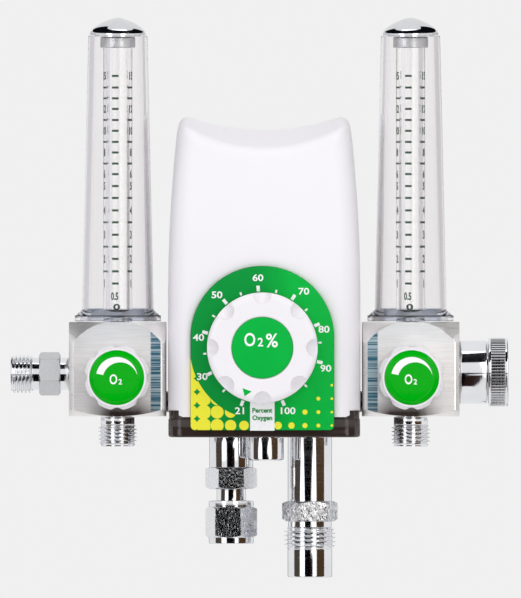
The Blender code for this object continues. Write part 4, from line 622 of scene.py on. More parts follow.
def make_materials():
    """Every finish, once. Heights and spacings are in metres."""
    white, dark, chrome, block = colour("white"), colour("dark"), colour("chrome"), colour("aluminium")
    draw, lines = (1.0, 1.0, 0.08), (1.0, 1.0, 12.0)
    MATERIALS.update(
        # ABS, injection moulded: a soft satin sheen on a barely uneven skin
        white=finish("white moulded ABS", white, 0.38, IOR=1.54, Specular_IOR_Level=0.3,
                     tone=(0.030, EVEN, 0.99, 1.0), polish=(0.010, EVEN, 0.36, 0.41),
                     relief=(0.0016, EVEN, 0.0000015, 1.0)),
        # ABS from a polished mould: deep and glossy, with long faint ripples
        dark=finish("dark polished ABS", dark, 0.12, IOR=1.54, tone=(0.012, EVEN, 1.0, 0.8),
                    polish=(0.004, EVEN, 0.08, 0.17), relief=(0.007, EVEN, 0.00002, 1.0)),
        dial=dial_film(),
        # The same print on the knobs' inlaid discs, one satin and one clear and glossy
        disc=finish("printed green disc", colour("green"), 0.35, IOR=1.49, Specular_IOR_Level=0.1,
                    tone=(0.008, EVEN, 1.0, 0.96), relief=(0.0006, EVEN, 0.000003, 1.0)),
        flow_disc=finish("printed domed disc", colour("flow_green"), 0.05, IOR=1.49,
                         Specular_IOR_Level=0.14, tone=(0.0005, EVEN, 0.93, 1.05),
                         relief=(0.004, EVEN, 0.000004, 1.0)),
        # Cold-drawn hexagon flats under chrome: the drawn skin sparkles, mostly from side to side
        flats=finish("chromed drawn flats", chrome, 0.1, 1.0, tone=(0.0007, EVEN, 1.0, 0.85),
                     polish=(0.0007, EVEN, 0.06, 0.14), relief=(0.0006, (1.0, 1.0, 0.5), 0.00007, 1.0)),
        # Forged flats under chrome: coarser, wrinkled
        forged=finish("chromed forged flats", chrome, 0.08, 1.0, tone=(0.0009, (1.0, 1.0, 0.6), 0.4, 1.0),
                      polish=(0.001, EVEN, 0.05, 0.12), relief=(0.0011, (1.0, 1.0, 0.7), 0.00035, 1.0)),
        # Flats bead-blasted before plating: an even silver without clear reflections
        satin=finish("chromed satin flats", shaded(chrome, 0.74), 0.36, 1.0, tone=(0.001, EVEN, 1.0, 0.95),
                     polish=(0.001, EVEN, 0.32, 0.40), relief=(0.001, EVEN, 0.000004, 0.6)),
        face=turned_face(),
        # Aluminium, milled: satin, with faint lines across the block
        block=finish("milled aluminium", block, 0.4, 1.0, tone=(0.008, lines, 1.0, 0.97),
                     polish=(0.006, (1.0, 1.0, 20.0), 0.36, 0.46), relief=(0.008, lines, 0.00001, 0.3)),
        # The block's rounded edges, burnished: they mirror what stands beside them. Their base is a darker
        # copy of the aluminium, painted shade.
        edge=finish("burnished aluminium edge with painted shade", shaded(block, 0.85), 0.3, 1.0,
                    tone=(0.010, EVEN, 1.0, 0.95), polish=(0.004, EVEN, 0.26, 0.34),
                    relief=(0.003, EVEN, 0.00001, 0.3)),
        # Stainless steel, buffed: a clean mirror with the faintest swirl
        steel=finish("buffed stainless steel", solid_colour("#E2E3E6"), 0.05, 1.0,
                     tone=(0.003, EVEN, 1.0, 0.95), polish=(0.003, EVEN, 0.03, 0.08),
                     relief=(0.003, EVEN, 0.000003, 0.4)),
        # The shroud's thick foot, of clear polycarbonate, with soft waves. Its greyer, blue tint is painted
        # shade for what the cone's glass refracts.
        foot=finish("clear polycarbonate foot with painted shade", solid_colour("#C3CBD8"), 0.03, IOR=1.5,
                    Transmission_Weight=1.0, polish=(0.004, EVEN, 0.02, 0.05),
                    relief=(0.003, EVEN, 0.00002, 0.6)),
        # Black nitrile rubber: matt, slightly dusty
        rubber=finish("black nitrile rubber", solid_colour("#17181A"), 0.6, IOR=1.52,
                      tone=(0.0015, EVEN, 1.0, 1.6), relief=(0.0015, EVEN, 0.00001, 1.0)),
    )
    # Turned brass under bright chrome: mirror bands broken by the tool's fine rings. Real rings are finer.
    # These are as coarse as they need to be to show.
    for key, name, rings in (
        ("chrome_z", "chromed brass turned upright", (0.5, 0.5, 60.0)),
        ("chrome_x", "chromed brass turned across", (60.0, 0.5, 0.5)),
    ):
        MATERIALS[key] = finish(name, chrome, 0.05, 1.0, tone=(0.010, EVEN, 1.0, 0.94),
                                polish=(0.02, rings, 0.035, 0.12), relief=(0.02, rings, 0.000012, 0.35))
    # Clear moulded polycarbonate: colourless, with faint flow lines along the draw
    for key, name, tint in (
        ("clear", "clear polycarbonate shroud", "#FCFBFB"), ("tube", "clear polycarbonate tube", "#FFFFFF"),
    ):
        MATERIALS[key] = finish(name, solid_colour(tint), 0.012, IOR=1.5, Transmission_Weight=1.0,
                                polish=(0.004, draw, 0.006, 0.018), relief=(0.004, draw, 0.000003, 0.4))
    # Screen ink: opaque, a little uneven in thickness, dull
    for key, name, tint, gloss, thin in (
        ("white_ink", "white screen ink", "ink", 0.2, 0.95),
        ("green_ink", "green screen ink", "deep_green", 0.2, 0.93),
        ("tube_ink", "green fired ink", "tube_ink", 0.1, 0.85),
    ):
        MATERIALS[key] = finish(name, colour(tint), 0.5, IOR=1.5, Specular_IOR_Level=gloss,
                                tone=(0.0012, EVEN, 1.0, thin), relief=(0.0004, EVEN, 0.000003, 1.0))
    # Machined metals that are mostly hidden: an even satin with small blotches
    for key, name, tint, roughness, blotch, low, high in (
        ("slide", "clear anodised aluminium", "#C9CACD", 0.38, 0.004, 0.3, 0.48),
        ("screw", "stainless screw steel", "#A9ABB0", 0.26, 0.002, 0.2, 0.34),
        ("brass", "machined brass", "#C2A463", 0.3, 0.004, 0.24, 0.39),
        ("bronze", "sintered bronze", "#9C7A4B", 0.6, 0.0008, 0.48, 0.78),
    ):
        MATERIALS[key] = finish(name, solid_colour(tint), roughness, 1.0, tone=(blotch, EVEN, 1.0, 0.85),
                                polish=(blotch, EVEN, low, high), relief=(0.0004, EVEN, 0.000008, 0.5))


# Geometry trees


def new_tree(name, inputs):
    """A geometry tree with named inputs, the sockets that give them and its output node."""
    tree = bpy.data.node_groups.new(name, "GeometryNodeTree")
    tree.interface.new_socket(name="Geometry", in_out="INPUT", socket_type="NodeSocketGeometry")
    for label, kind, value in inputs:
        socket = tree.interface.new_socket(name=label, in_out="INPUT", socket_type="NodeSocket" + kind)
        if value is not None:
            socket.default_value = value
    tree.interface.new_socket(name="Material", in_out="INPUT", socket_type="NodeSocketMaterial")
    tree.interface.new_socket(name="Geometry", in_out="OUTPUT", socket_type="NodeSocketGeometry")
    return tree, add_node(tree, "NodeGroupInput").outputs, add_node(tree, "NodeGroupOutput")


def end_tree(tree, given, output, geometry):
    """Every tree ends in real geometry with its material set."""
    real = add_node(tree, "GeometryNodeRealizeInstances", {0: geometry})
    dressed = add_node(tree, "GeometryNodeSetMaterial", {"Geometry": real, "Material": given["Material"]})
    tree.links.new(dressed.outputs[0], output.inputs[0])
    return tree


def grown(tree, points, values, attributes=None, angle=SHARP):
    """The plain mesh that a tree makes from these points and values."""
    mesh = bpy.data.meshes.new("points")
    mesh.from_pydata(points, [], [])
    for name, numbers in (attributes or {}).items():
        mesh.attributes.new(name, "FLOAT", "POINT").data.foreach_set("value", numbers)
    thing = linked("points", mesh)
    modifier = thing.modifiers.new("grow", "NODES")
    modifier.node_group = tree
    for item in tree.interface.items_tree:
        if item.in_out == "INPUT" and item.name in values:
            modifier[item.identifier] = values[item.name]
    return edged(evaluated_mesh(thing), angle)


def thread_tree():
    """A screw thread: a closed cylinder whose wall follows a helical ridge that fades at both ends."""
    tree, given, output = new_tree(
        "screw thread",
        [("Root Radius", "Float", 0.0063), ("Crest Radius", "Float", 0.0071), ("Pitch", "Float", 0.0014),
         ("Length", "Float", 0.008), ("Sides", "Int", 96), ("Rows", "Int", 60)],
    )
    sizes = {"Vertices": given["Sides"], "Side Segments": given["Rows"], "Radius": 1.0,
             "Depth": given["Length"]}
    barrel = add_node(tree, "GeometryNodeMeshCylinder", sizes)
    here = add_node(tree, "GeometryNodeInputPosition")
    split = add_node(tree, "ShaderNodeSeparateXYZ", {0: here}).outputs
    made = {"X": split["X"], "Y": split["Y"], "Z": split["Z"], "root": given["Root Radius"],
            "crest": given["Crest Radius"], "pitch": given["Pitch"], "length": given["Length"]}
    for name, operation, *terms in (
        ("turn", "ARCTAN2", "Y", "X"), ("height", "MULTIPLY_ADD", "length", 0.5, "Z"),
        ("rise", "DIVIDE", "height", "pitch"), ("wound", "DIVIDE", "turn", math.tau),
        ("phase", "ADD", "rise", "wound"), ("ridge", "PINGPONG", "phase", 0.5),
        ("ridge", "MULTIPLY", "ridge", 2.0), ("near", "DIVIDE", "height", "pitch"),
        ("left", "SUBTRACT", "length", "height"),
        ("far", "DIVIDE", "left", "pitch"), ("fade", "MULTIPLY", "near", "far"),
        ("depth", "SUBTRACT", "crest", "root"), ("depth", "MULTIPLY", "depth", "fade"),
        ("flank", "SMOOTHSTEP", "ridge", 0.12, 0.88), ("radius", "MULTIPLY_ADD", "depth", "flank", "root"),
        ("cosine", "COSINE", "turn"), ("sine", "SINE", "turn"),
        ("across", "MULTIPLY", "cosine", "radius"), ("along", "MULTIPLY", "sine", "radius"),
    ):
        inputs = looked_up(terms, made)
        kind, settings = "ShaderNodeMath", {"operation": operation, "use_clamp": name in ("near", "far")}
        if operation == "SMOOTHSTEP":
            kind, settings = "ShaderNodeMapRange", {"interpolation_type": operation}
        made[name] = add_node(tree, kind, inputs, **settings).outputs[0]
    place = add_node(tree, "ShaderNodeCombineXYZ", {0: made["across"], 1: made["along"], 2: made["height"]})
    moved = {"Geometry": barrel.outputs["Mesh"], "Position": place}
    return end_tree(tree, given, output, add_node(tree, "GeometryNodeSetPosition", moved))


def rib_tree():
    """Straight knurling: one rounded rib, repeated round a circle."""
    tree, given, output = new_tree(
        "straight knurl",
        [("Count", "Int", 60), ("Radius", "Float", 0.012), ("Rib Width", "Float", 0.001),
         ("Rib Length", "Float", 0.006)],
    )
    sizes = {"Vertices": given["Count"], "Radius": given["Radius"]}
    circle = add_node(tree, "GeometryNodeMeshCircle", sizes).outputs["Mesh"]
    half = add_node(tree, "ShaderNodeMath", {0: given["Rib Width"], 1: 0.5}, operation="MULTIPLY")
    sizes = {"Vertices": 8, "Radius": half, "Depth": given["Rib Length"]}
    rib = add_node(tree, "GeometryNodeMeshCylinder", sizes).outputs["Mesh"]
    many = add_node(tree, "GeometryNodeInstanceOnPoints", {"Points": circle, "Instance": rib})
    return end_tree(tree, given, output, many)


def mark_tree():
    """Printed bars: one thin bar at each point, turned and sized by the point's attributes."""
    tree, given, output = new_tree("printed bars", [("Thickness", "Float", 0.00005)])
    bar = add_node(tree, "GeometryNodeMeshCube", {"Size": (1.0, 1.0, 1.0)}).outputs["Mesh"]
    own = {}
    for name in ("turn", "wide", "tall"):
        read = add_node(tree, "GeometryNodeInputNamedAttribute", {"Name": name}, data_type="FLOAT")
        own[name] = read.outputs[0]
    rotation = add_node(tree, "ShaderNodeCombineXYZ", {2: own["turn"]})
    scale = add_node(tree, "ShaderNodeCombineXYZ", {0: own["wide"], 1: own["tall"], 2: given["Thickness"]})
    where = {"Points": given["Geometry"], "Instance": bar, "Rotation": rotation, "Scale": scale}
    return end_tree(tree, given, output, add_node(tree, "GeometryNodeInstanceOnPoints", where))


def graduation_tree():
    """Lines round a tube: one curved line, repeated at each height."""
    tree, given, output = new_tree(
        "tube graduations",
        [("Radius", "Float", 0.0054), ("Start", "Float", 0.0), ("Sweep", "Float", 0.5),
         ("Line Height", "Float", 0.0004), ("Thickness", "Float", 0.00005)],
    )
    bend = {"Resolution": 12, "Radius": given["Radius"], "Start Angle": given["Start"],
            "Sweep Angle": given["Sweep"]}
    line = add_node(tree, "GeometryNodeCurveArc", bend, mode="RADIUS").outputs["Curve"]
    sizes = {"Width": given["Thickness"], "Height": given["Line Height"]}
    profile = add_node(tree, "GeometryNodeCurvePrimitiveQuadrilateral", sizes, mode="RECTANGLE")
    swept = {"Curve": line, "Profile Curve": profile.outputs["Curve"], "Fill Caps": True}
    strip = add_node(tree, "GeometryNodeCurveToMesh", swept)
    many = add_node(tree, "GeometryNodeInstanceOnPoints", {"Points": given["Geometry"], "Instance": strip})
    return end_tree(tree, given, output, many)


def screw_tree():
    """Socket screws: a head with a hexagon socket and its shank, repeated at each point."""
    tree, given, output = new_tree(
        "socket screws",
        [("Head Radius", "Float", 0.0042), ("Head Height", "Float", 0.004),
         ("Shank Radius", "Float", 0.0025), ("Length", "Float", 0.02),
         ("Socket Radius", "Float", 0.0018), ("Socket Depth", "Float", 0.002)],
    )
    double = add_node(tree, "ShaderNodeMath", {0: given["Socket Depth"], 1: 2.0}, operation="MULTIPLY")
    rods = []
    for radius, length, top, sides in (
        ("Head Radius", given["Head Height"], 0.0, 48), ("Socket Radius", double, given["Socket Depth"], 6),
        ("Shank Radius", given["Length"], -MM, 32),
    ):
        sizes = {"Vertices": sides, "Radius": given[radius], "Depth": length}
        body = add_node(tree, "GeometryNodeMeshCylinder", sizes).outputs["Mesh"]
        half = add_node(tree, "ShaderNodeMath", {0: length, 1: -0.5, 2: top}, operation="MULTIPLY_ADD")
        shift = add_node(tree, "ShaderNodeCombineXYZ", {2: half})
        rods.append(add_node(tree, "GeometryNodeTransform", {"Geometry": body, "Translation": shift}))
    head, socket, shank = rods
    both = {"Mesh 1": head, "Mesh 2": socket}
    cut = add_node(tree, "GeometryNodeMeshBoolean", both, operation="DIFFERENCE")
    whole = add_node(tree, "GeometryNodeJoinGeometry")
    for part in (shank, cut):
        tree.links.new(part.outputs[0], whole.inputs[0])
    many = add_node(tree, "GeometryNodeInstanceOnPoints", {"Points": given["Geometry"], "Instance": whole})
    return end_tree(tree, given, output, many)


def thread(finish_name, root, crest, pitch, length, axis, at, bore, sides=SMALL):
    """A screw thread that winds on from a point along the axis, bored through."""
    values = {"Root Radius": root, "Crest Radius": crest, "Pitch": pitch, "Length": length, "Sides": MIDDLE,
              "Rows": max(24, int(length / pitch * 14)), "Material": MATERIALS[finish_name]}
    helix = placed(grown(thread_tree(), [(0, 0, 0)], values, angle=75.0), axis, at)
    drill = placed(rod(bore, THROUGH, -THROUGH, sides), axis, at)
    return dressed(smooth(carved(helix, ("DIFFERENCE", drill))), finish_name)


# Cover


def cover_half_width(z):
    return COVER_HALF_WIDTH - COVER_TAPER * max(0.0, z / COVER_TOP) ** 2


def rounding(inside, radius):
    if inside >= radius:
        return 0.0
    return radius - math.sqrt(max(0.0, radius**2 - (radius - inside) ** 2))


def arch_distance(x, z):
    """How far outside the panel's arch a point is, seen from the front."""
    x -= PANEL_X
    if z > PANEL_ARCH_Z:
        return math.hypot(x, z - PANEL_ARCH_Z) - PANEL_HALF_WIDTH
    return abs(x) - PANEL_HALF_WIDTH


def cover_depth(x, z, inset):
    half = COVER_HALF_WIDTH - inset
    radius = COVER_EDGE_RADIUS - inset
    bulge = COVER_BULGE * (x / COVER_HALF_WIDTH) ** 2
    lean = COVER_LEAN * max(0.0, z / COVER_BROW) ** 2
    depth = COVER_FRONT - inset - bulge - lean - rounding(half - abs(x), radius)
    if not inset:
        share = min(1.0, max(0.0, 1 - arch_distance(x, z) / size("rim_width")))
        depth -= size("rim_drop") * (1 - math.sqrt(1 - share**2 * 0.96))
    return depth


def cover_form(inset, back_y, bottom, fine):
    """The cover's loft: slices across X, each up the front, over the brow and back along the top."""
    half = COVER_HALF_WIDTH - inset
    radius = COVER_EDGE_RADIUS - inset
    flat = half - radius
    across = 24 if fine else 3
    turns = 12 if fine else 4
    right = [flat * i / across for i in range(across)]
    right += [flat + radius * math.sin(math.pi / 2 * i / turns) for i in range(turns + 1)]
    stations = [-x for x in reversed(right[1:])] + right
    work = bmesh.new()
    fronts = []
    backs = []
    for x in stations:
        share = (x / COVER_HALF_WIDTH) ** 2
        fall = rounding(half - abs(x), COVER_CORNER_RADIUS)
        top = COVER_TOP + COVER_TOP_RISE * share - fall - inset
        brow = COVER_BROW + COVER_BROW_RISE * share - fall - inset
        foot = bottom + COVER_FOOT_RISE * max(0.0, 1 - (half - abs(x)) / COVER_FOOT_RUN)
        lower = brow - COVER_BROW_RADIUS
        count = 84 if fine else 5
        heights = [foot + (lower - foot) * i / count for i in range(count + 1)]
        line = [(-cover_depth(x, z, inset), z) for z in heights]
        corner = (-cover_depth(x, brow, inset), brow)
        slope = (top - corner[1]) / (BACK_Y - corner[0])
        reach = COVER_BROW_RADIUS / math.hypot(1, slope)
        start, end = line[-1], (corner[0] + reach, corner[1] + reach * slope)
        bends = 8 if fine else 3
        for k in range(1, bends + 1):
            t = k / bends
            weights = ((1 - t) ** 2, 2 * t * (1 - t), t**2)
            line.append(tuple(sum(w * p[i] for w, p in zip(weights, (start, corner, end))) for i in (0, 1)))
        rear = 12 if fine else 2
        for k in range(1, rear + 1):
            y = end[0] + (back_y - end[0]) * k / rear
            line.append((y, corner[1] + (y - corner[0]) * slope))
        widths = [x * (cover_half_width(z) - inset) / (COVER_HALF_WIDTH - inset) for _, z in line]
        fronts.append([work.verts.new((w, y, z)) for w, (y, z) in zip(widths, line)])
        backs.append([work.verts.new((w, back_y, z)) for w, (_, z) in zip(widths, line[:-1])])
        backs[-1].append(fronts[-1][-1])
    levels = range(len(fronts[0]) - 1)
    for i in range(len(fronts) - 1):
        for k in levels:
            work.faces.new((fronts[i][k], fronts[i + 1][k], fronts[i + 1][k + 1], fronts[i][k + 1]))
            ladder = (backs[i + 1][k], backs[i][k], backs[i][k + 1], backs[i + 1][k + 1])
            work.faces.new(tuple(dict.fromkeys(ladder)))
        work.faces.new((fronts[i + 1][0], fronts[i][0], backs[i][0], backs[i + 1][0]))
    for i in (0, -1):
        for k in levels:
            ladder = (backs[i][k], fronts[i][k], fronts[i][k + 1], backs[i][k + 1])
            work.faces.new(tuple(dict.fromkeys(ladder)))
    return mesh_from(work, 40.0)


class BLENDER_UNIT_OT_cover(bpy.types.Operator):
    """Builds the white front cover with its saddle top and arch"""

    bl_idname = "blender_unit.cover"
    bl_label = "Front cover"

    def execute(self, context):
        outside = cover_form(0.0, BACK_Y, COVER_BOTTOM, True)
        inside = cover_form(COVER_WALL, BACK_Y + COVER_WALL, COVER_BOTTOM - 3 * COVER_FOOT_RISE, False)
        opening = placed(prism(arch(0.0001), 0.04, COVER_FRONT + COVER_WALL), "-Y")
        shell = carved(outside, ("DIFFERENCE", inside), ("DIFFERENCE", opening))
        meshes = [dressed(edged(shell, 32), "white")]
        piece("cover", "housing", "white_plastic", meshes, ["front_cover"])
        return {"FINISHED"}


class BLENDER_UNIT_OT_base(bpy.types.Operator):
    """Builds the dark manifold block below the cover"""

    bl_idname = "blender_unit.base"
    bl_label = "Manifold block"

    def execute(self, context):
        low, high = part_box("manifold_block")
        skirt_top = COVER_BOTTOM - 0.0003
        edge = 0.006
        front = low.y
        outline = [(high.x, high.y), (low.x, high.y)]
        outline += arc((low.x + edge, front + edge), edge, 180, 270, 14)
        outline += arc((high.x - edge, front + edge), edge, 270, 360, 14)
        skirt = prism(outline, low.z, skirt_top, 0.0009, 4)
        middle_y = (low.y + high.y) / 2
        inset = [(x * 0.992, middle_y + (y - middle_y) * 0.992) for x, y in outline]
        ledge = prism(inset, skirt_top - MM, COVER_BOTTOM + COVER_FOOT_RISE)
        pad_edge = -0.05
        pad = placed(prism(arch(-0.0015), -pad_edge, -front), "-Y")
        foot, head = (low.x + 0.011, pad_edge), (high.x - 0.011, high.y - 0.003)
        core = prism(rectangle(foot, head), skirt_top - MM, 0.030, 0.001, 2)
        meshes = [dressed(m, "dark") for m in (skirt, ledge, pad, core)]
        piece("manifold", "housing", "dark_plastic", meshes, ["manifold_block"])
        return {"FINISHED"}


# Dial


class BLENDER_UNIT_OT_dial(bpy.types.Operator):
    """Builds the dial panel with its marks, numbers and legend"""

    bl_idname = "blender_unit.dial"
    bl_label = "Dial panel"

    def execute(self, context):
        low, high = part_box("dial_panel")
        front = low.y
        panel = placed(prism(arch(0.0), -high.y, -front, 0.0004, 3), "-Y")
        hole = placed(rod(0.0033, 1, -1), "-Y", (PANEL_X, 0, MIX_Z))
        panel = dressed(edged(carved(panel, ("DIFFERENCE", hole))), "dial")
        piece("dial", "housing", "green_plastic", [panel], ["dial_panel"])

        lift = size("print_lift")
        points, turns, widths, heights, meshes = [], [], [], [], []
        for value, degrees in DIAL_MARKS:
            turn = math.radians(degrees)
            large = value % 10 == 0 or value == 21
            reach = size("mark_radius") - (0.0 if large else 0.0005)
            points.append((reach * math.sin(turn), reach * math.cos(turn), lift / 2))
            turns.append(-turn)
            widths.append(0.0012 if large else 0.0007)
            heights.append(0.0021 if large else 0.0012)
        number_wide, number_rise, legend_height = 1.2, 0.00045, 0.00235
        for value, x, z in DIAL_NUMBERS:
            number = words(str(value), size("number_height"), lift, 0.02)
            number.transform(Matrix.Diagonal((number_wide, 1, 1, 1)))
            number.transform(Matrix.Translation((x * MM, z * MM + number_rise, 0)))
            meshes.append(number)
        bars = grown(
            mark_tree(), points, {"Thickness": lift, "Material": MATERIALS["white_ink"]},
            {"turn": turns, "wide": widths, "tall": heights},
        )
        at = (PANEL_X, front - INK_GAP, MIX_Z)
        meshes = [dressed(m, "white_ink", "-Y", at) for m in meshes + [bars]]
        box_low, box_high = (-0.0052, -0.0481), (0.0038, -0.0372)
        box = prism(rectangle(box_low, box_high), 0, lift)
        meshes.append(dressed(box, "white_ink", "-Y", (0, front - INK_GAP, 0)))
        middle = (box_low[0] + box_high[0]) / 2
        for text, z in (("Percent", -0.0406), ("Oxygen", -0.0436)):
            label = words(text, legend_height, lift, 0.035, False)
            meshes.append(dressed(label, "green_ink", "-Y", (middle, front - lift - 2 * INK_GAP, z)))
        piece("dial_print", "housing", "green_plastic", meshes)
        return {"FINISHED"}


# Knobs


def finger_hollows(front, outer, top, count=8):
    """A shape that carves the knob's front edge: the wall below a hollow shortens, the rim dips into it."""
    half_width, reach, depth = 0.0033, 0.0041, 0.0048

    def shape(radius, height, turn):
        step = math.tau / count
        off = (turn + step / 2) % step - step / 2
        along = outer * math.sin(off)
        edge = (along / half_width) ** 2
        floor_at_wall = front - depth * math.sqrt(1 - edge) if edge < 1 else front
        if height <= top and radius > outer - 0.000001:
            return radius, height * min(1.0, floor_at_wall / top)
        if radius < outer - reach or height < top - 0.000001:
            return radius, height
        bowl = (radius * math.sin(off) / half_width) ** 2 + ((outer - radius * math.cos(off)) / reach) ** 2
        if bowl >= 1:
            return radius, height
        return radius, min(height, front - depth * math.sqrt(1 - bowl))

    return shape


class BLENDER_UNIT_OT_mixing_knob(bpy.types.Operator):
    """Builds the mixing knob with its finger hollows, disc and pointer"""

    bl_idname = "blender_unit.mixing_knob"
    bl_label = "Mixing knob"

    def execute(self, context):
        low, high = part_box("mix_knob")
        outer, length = round((high.x - low.x) / 2, 4), high.y - low.y
        axis_at = (PANEL_X, high.y, MIX_Z)
        disc_low, disc_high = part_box("mix_knob_disc")
        disc_radius = (disc_high.z - disc_low.z) / 2
        recess, ease, wall_thick, web = length - 0.0016, 0.0024, 0.0026, 0.0026
        top = length - ease
        bends = [math.pi / 2 * i / 8 for i in range(9)]
        rim = [(outer - ease * (1 - math.cos(a)), top + ease * math.sin(a)) for a in bends]
        inner_edge = disc_radius + 0.00008
        flat = [(rim[-1][0] - (rim[-1][0] - inner_edge - 0.0003) * i / 16, length) for i in range(1, 17)]
        wall = [(outer, top * i / 10) for i in range(1, 10)]
        well, well_foot, bore, boss = 0.0056, 0.0119, 0.003301, 0.0059
        # Foot, wall and front, the disc's seat, the spindle's well and bore, and the hollow behind
        profile = [(outer - 0.0005, 0), (outer, 0.0005)] + wall + rim + flat
        profile += [(inner_edge, length - 0.0003), (inner_edge, recess), (well, recess), (well, well_foot)]
        profile += [(bore, well_foot), (bore, 0), (boss, 0), (boss, recess - web)]
        inner = outer - wall_thick
        profile += [(inner_edge, recess - web), (inner, recess - 0.0067), (inner, 0)]
        shape = finger_hollows(length, outer, top)
        knob = lathe(profile, 256, closed=True, shape=shape, angle=50.0)
        cap = rod(well + 0.0004, recess, recess - web)
        meshes = [dressed(m, "white", "-Y", axis_at) for m in (knob, cap)]
        piece("mixing_knob", "mixing_knob", "white_plastic", meshes, ["mix_knob"])

        face, back = length + 0.0002, recess + 0.0003
        disc = lathe(eased([(0, face), (disc_radius, face, 0.0004), (disc_radius, back), (0, back)]), LARGE)
        meshes = [dressed(disc, "disc", "-Y", axis_at)]
        for text, x, y, height, wide in (
            ("O", -0.0046, 0.0030, 0.0049, 0.78), ("2", -0.0007, 0.0021, 0.0031, 1.0),
            ("%", 0.0035, 0.0027, 0.0051, 0.95),
        ):
            letter = words(text, height, size("print_lift"), 0.014)
            letter.transform(Matrix.Diagonal((wide, 1, 1, 1)))
            at = (axis_at[0] + x, axis_at[1] - face - INK_GAP, axis_at[2] + y)
            meshes.append(dressed(letter, "white_ink", "-Y", at))
        piece("mixing_disc", "mixing_knob", "green_plastic", meshes, ["mix_knob_disc"])

        turn = math.radians(DIAL_MARKS[0][1])
        out = Vector((math.sin(turn), math.cos(turn)))
        side = Vector((out.y, -out.x)) * 0.0018
        tip, foot = out * 0.0189, out * 0.0164
        pointer = prism([tuple(c) for c in (tip, foot + side, foot - side)], 0, size("print_lift"))
        at = (axis_at[0], axis_at[1] - length - INK_GAP, axis_at[2])
        piece("mixing_pointer", "mixing_knob", "green_plastic", [dressed(pointer, "disc", "-Y", at)])
        return {"FINISHED"}


def crescent(outer, inner, shift, floor, dome, lift):
    """A crescent between two circles, cut off below a height at its thick end, on a domed disc."""
    count = 48
    start = math.pi - math.asin(floor / outer)
    end = math.radians(8)
    rows = []
    for i in range(count + 1):
        a = start + (end - start) * i / count
        direction = Vector((math.cos(a), math.sin(a)))
        far = direction * outer
        along = shift.dot(direction)
        near = direction * (along + math.sqrt(max(0.0, inner**2 - shift.length_squared + along**2)))
        if near.length > far.length - 0.00003:
            near = far * 0.996
        rows.append((near, far))
    work = bmesh.new()
    rings = []
    for near, far in rows:
        cross = []
        for k in range(5):
            p = near.lerp(far, k / 4)
            cross.append((p, dome(p.length)))
        bottom = [work.verts.new((p.x, p.y, h - lift)) for p, h in cross]
        above = [work.verts.new((p.x, p.y, h + lift)) for p, h in cross]
        rings.append(bottom + above[::-1])
    for one, two in zip(rings, rings[1:]):
        for i in range(len(one)):
            j = (i + 1) % len(one)
            work.faces.new((one[i], one[j], two[j], two[i]))
    work.faces.new(rings[0])
    work.faces.new(rings[-1][::-1])
    return mesh_from(work)


def flow_knob(name):
    """A scalloped knob, and its domed disc with a crescent and O2."""
    low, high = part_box(f"flow_knob_{name}")
    centre = (low + high) / 2
    at = (centre.x, high.y, centre.z)
    length = high.y - low.y
    skirt, neck, disc_radius, recess = 0.0121, 0.0108, 0.0100, length - 0.0012
    shoulder, neck_start, wall_thick = 0.006, 0.010, 0.0018
    notch, notch_width, lobes = 0.0010, math.radians(11.5), 8

    def shape(radius, height, turn):
        if radius < neck - 0.0005 or height > neck_start:
            return radius, height
        step = math.tau / lobes
        off = abs((turn + step / 2) % step - step / 2)
        if off >= notch_width:
            return radius, height
        strength = 1.0 if height < shoulder else (neck_start - height) / (neck_start - shoulder)
        return radius - notch * strength * math.cos(off / notch_width * math.pi / 2) ** 1.4, height

    # Skirt, neck and front, the disc's seat, the stem's bore, and the hollow behind
    seat = disc_radius + 0.00006
    inside = recess - wall_thick
    boss, bore, bore_foot, bore_end = 0.0043, 0.00251, 0.0018, 0.0094
    profile = eased([
        (skirt - 0.0004, 0), (skirt, 0, 0.0004), (skirt, 0.003), (skirt, shoulder, 0.001),
        (neck, neck_start, 0.0012), (neck, length - 0.004), (neck, length, 0.0004),
        (seat, length, 0.0002), (seat, recess), (boss, recess), (boss, bore_end), (bore, bore_end),
        (bore, bore_foot), (boss, bore_foot), (boss, inside), (neck - wall_thick, inside),
        (neck - wall_thick, 0),
    ])
    knob = lathe(profile, 192, closed=True, shape=shape, angle=50.0)
    cap = rod(0.0045, recess, inside)
    meshes = [dressed(m, "white", "-Y", at) for m in (knob, cap)]
    body = f"{name}_flow_knob"
    piece(f"flow_knob_cap_{name}", body, "white_plastic", meshes, [f"flow_knob_{name}"])

    rise, crown, dome_edge, ease_share = 0.0009, 0.00006, 0.80, 0.55

    def dome(radius):
        share = radius / disc_radius
        over = max(0.0, (share - dome_edge) / (1 - dome_edge))
        return length + rise * (1 - over * min(over / ease_share, 1.0)) + crown * (1 - share**2)

    profile = [(disc_radius * i / 40, dome(disc_radius * i / 40)) for i in range(0, 41)]
    profile += [(disc_radius, recess + 0.0003), (0, recess + 0.0003)]
    meshes = [dressed(lathe(profile, LARGE), "flow_disc", "-Y", at)]
    lift = size("print_lift")
    moon = crescent(0.0076, 0.0065, Vector((0.0013, -0.00085)), 0.0015, dome, lift)
    meshes.append(dressed(moon, "white_ink", "-Y", at))
    for text, x, y, height in (("O", -0.0012, -0.0006, 0.0037), ("2", 0.0013, -0.0015, 0.0020)):
        letter = words(text, height, lift, 0.018)
        letter.transform(Matrix.Diagonal((0.72, 1, 1, 1) if text == "O" else (1, 1, 1, 1)))
        for vertex in letter.vertices:
            vertex.co.x += x
            vertex.co.y += y
            vertex.co.z += dome(vertex.co.xy.length) + INK_GAP
        meshes.append(dressed(letter, "white_ink", "-Y", at))
    piece(f"flow_knob_disc_{name}", body, "green_plastic", meshes, [f"flow_disc_{name}"])


class BLENDER_UNIT_OT_flow_knobs(bpy.types.Operator):
    """Builds the two scalloped flow knobs with their domed discs"""

    bl_idname = "blender_unit.flow_knobs"
    bl_label = "Flow knobs"

    def execute(self, context):
        for name in SIDES:
            flow_knob(name)
        return {"FINISHED"}


# Flowmeters


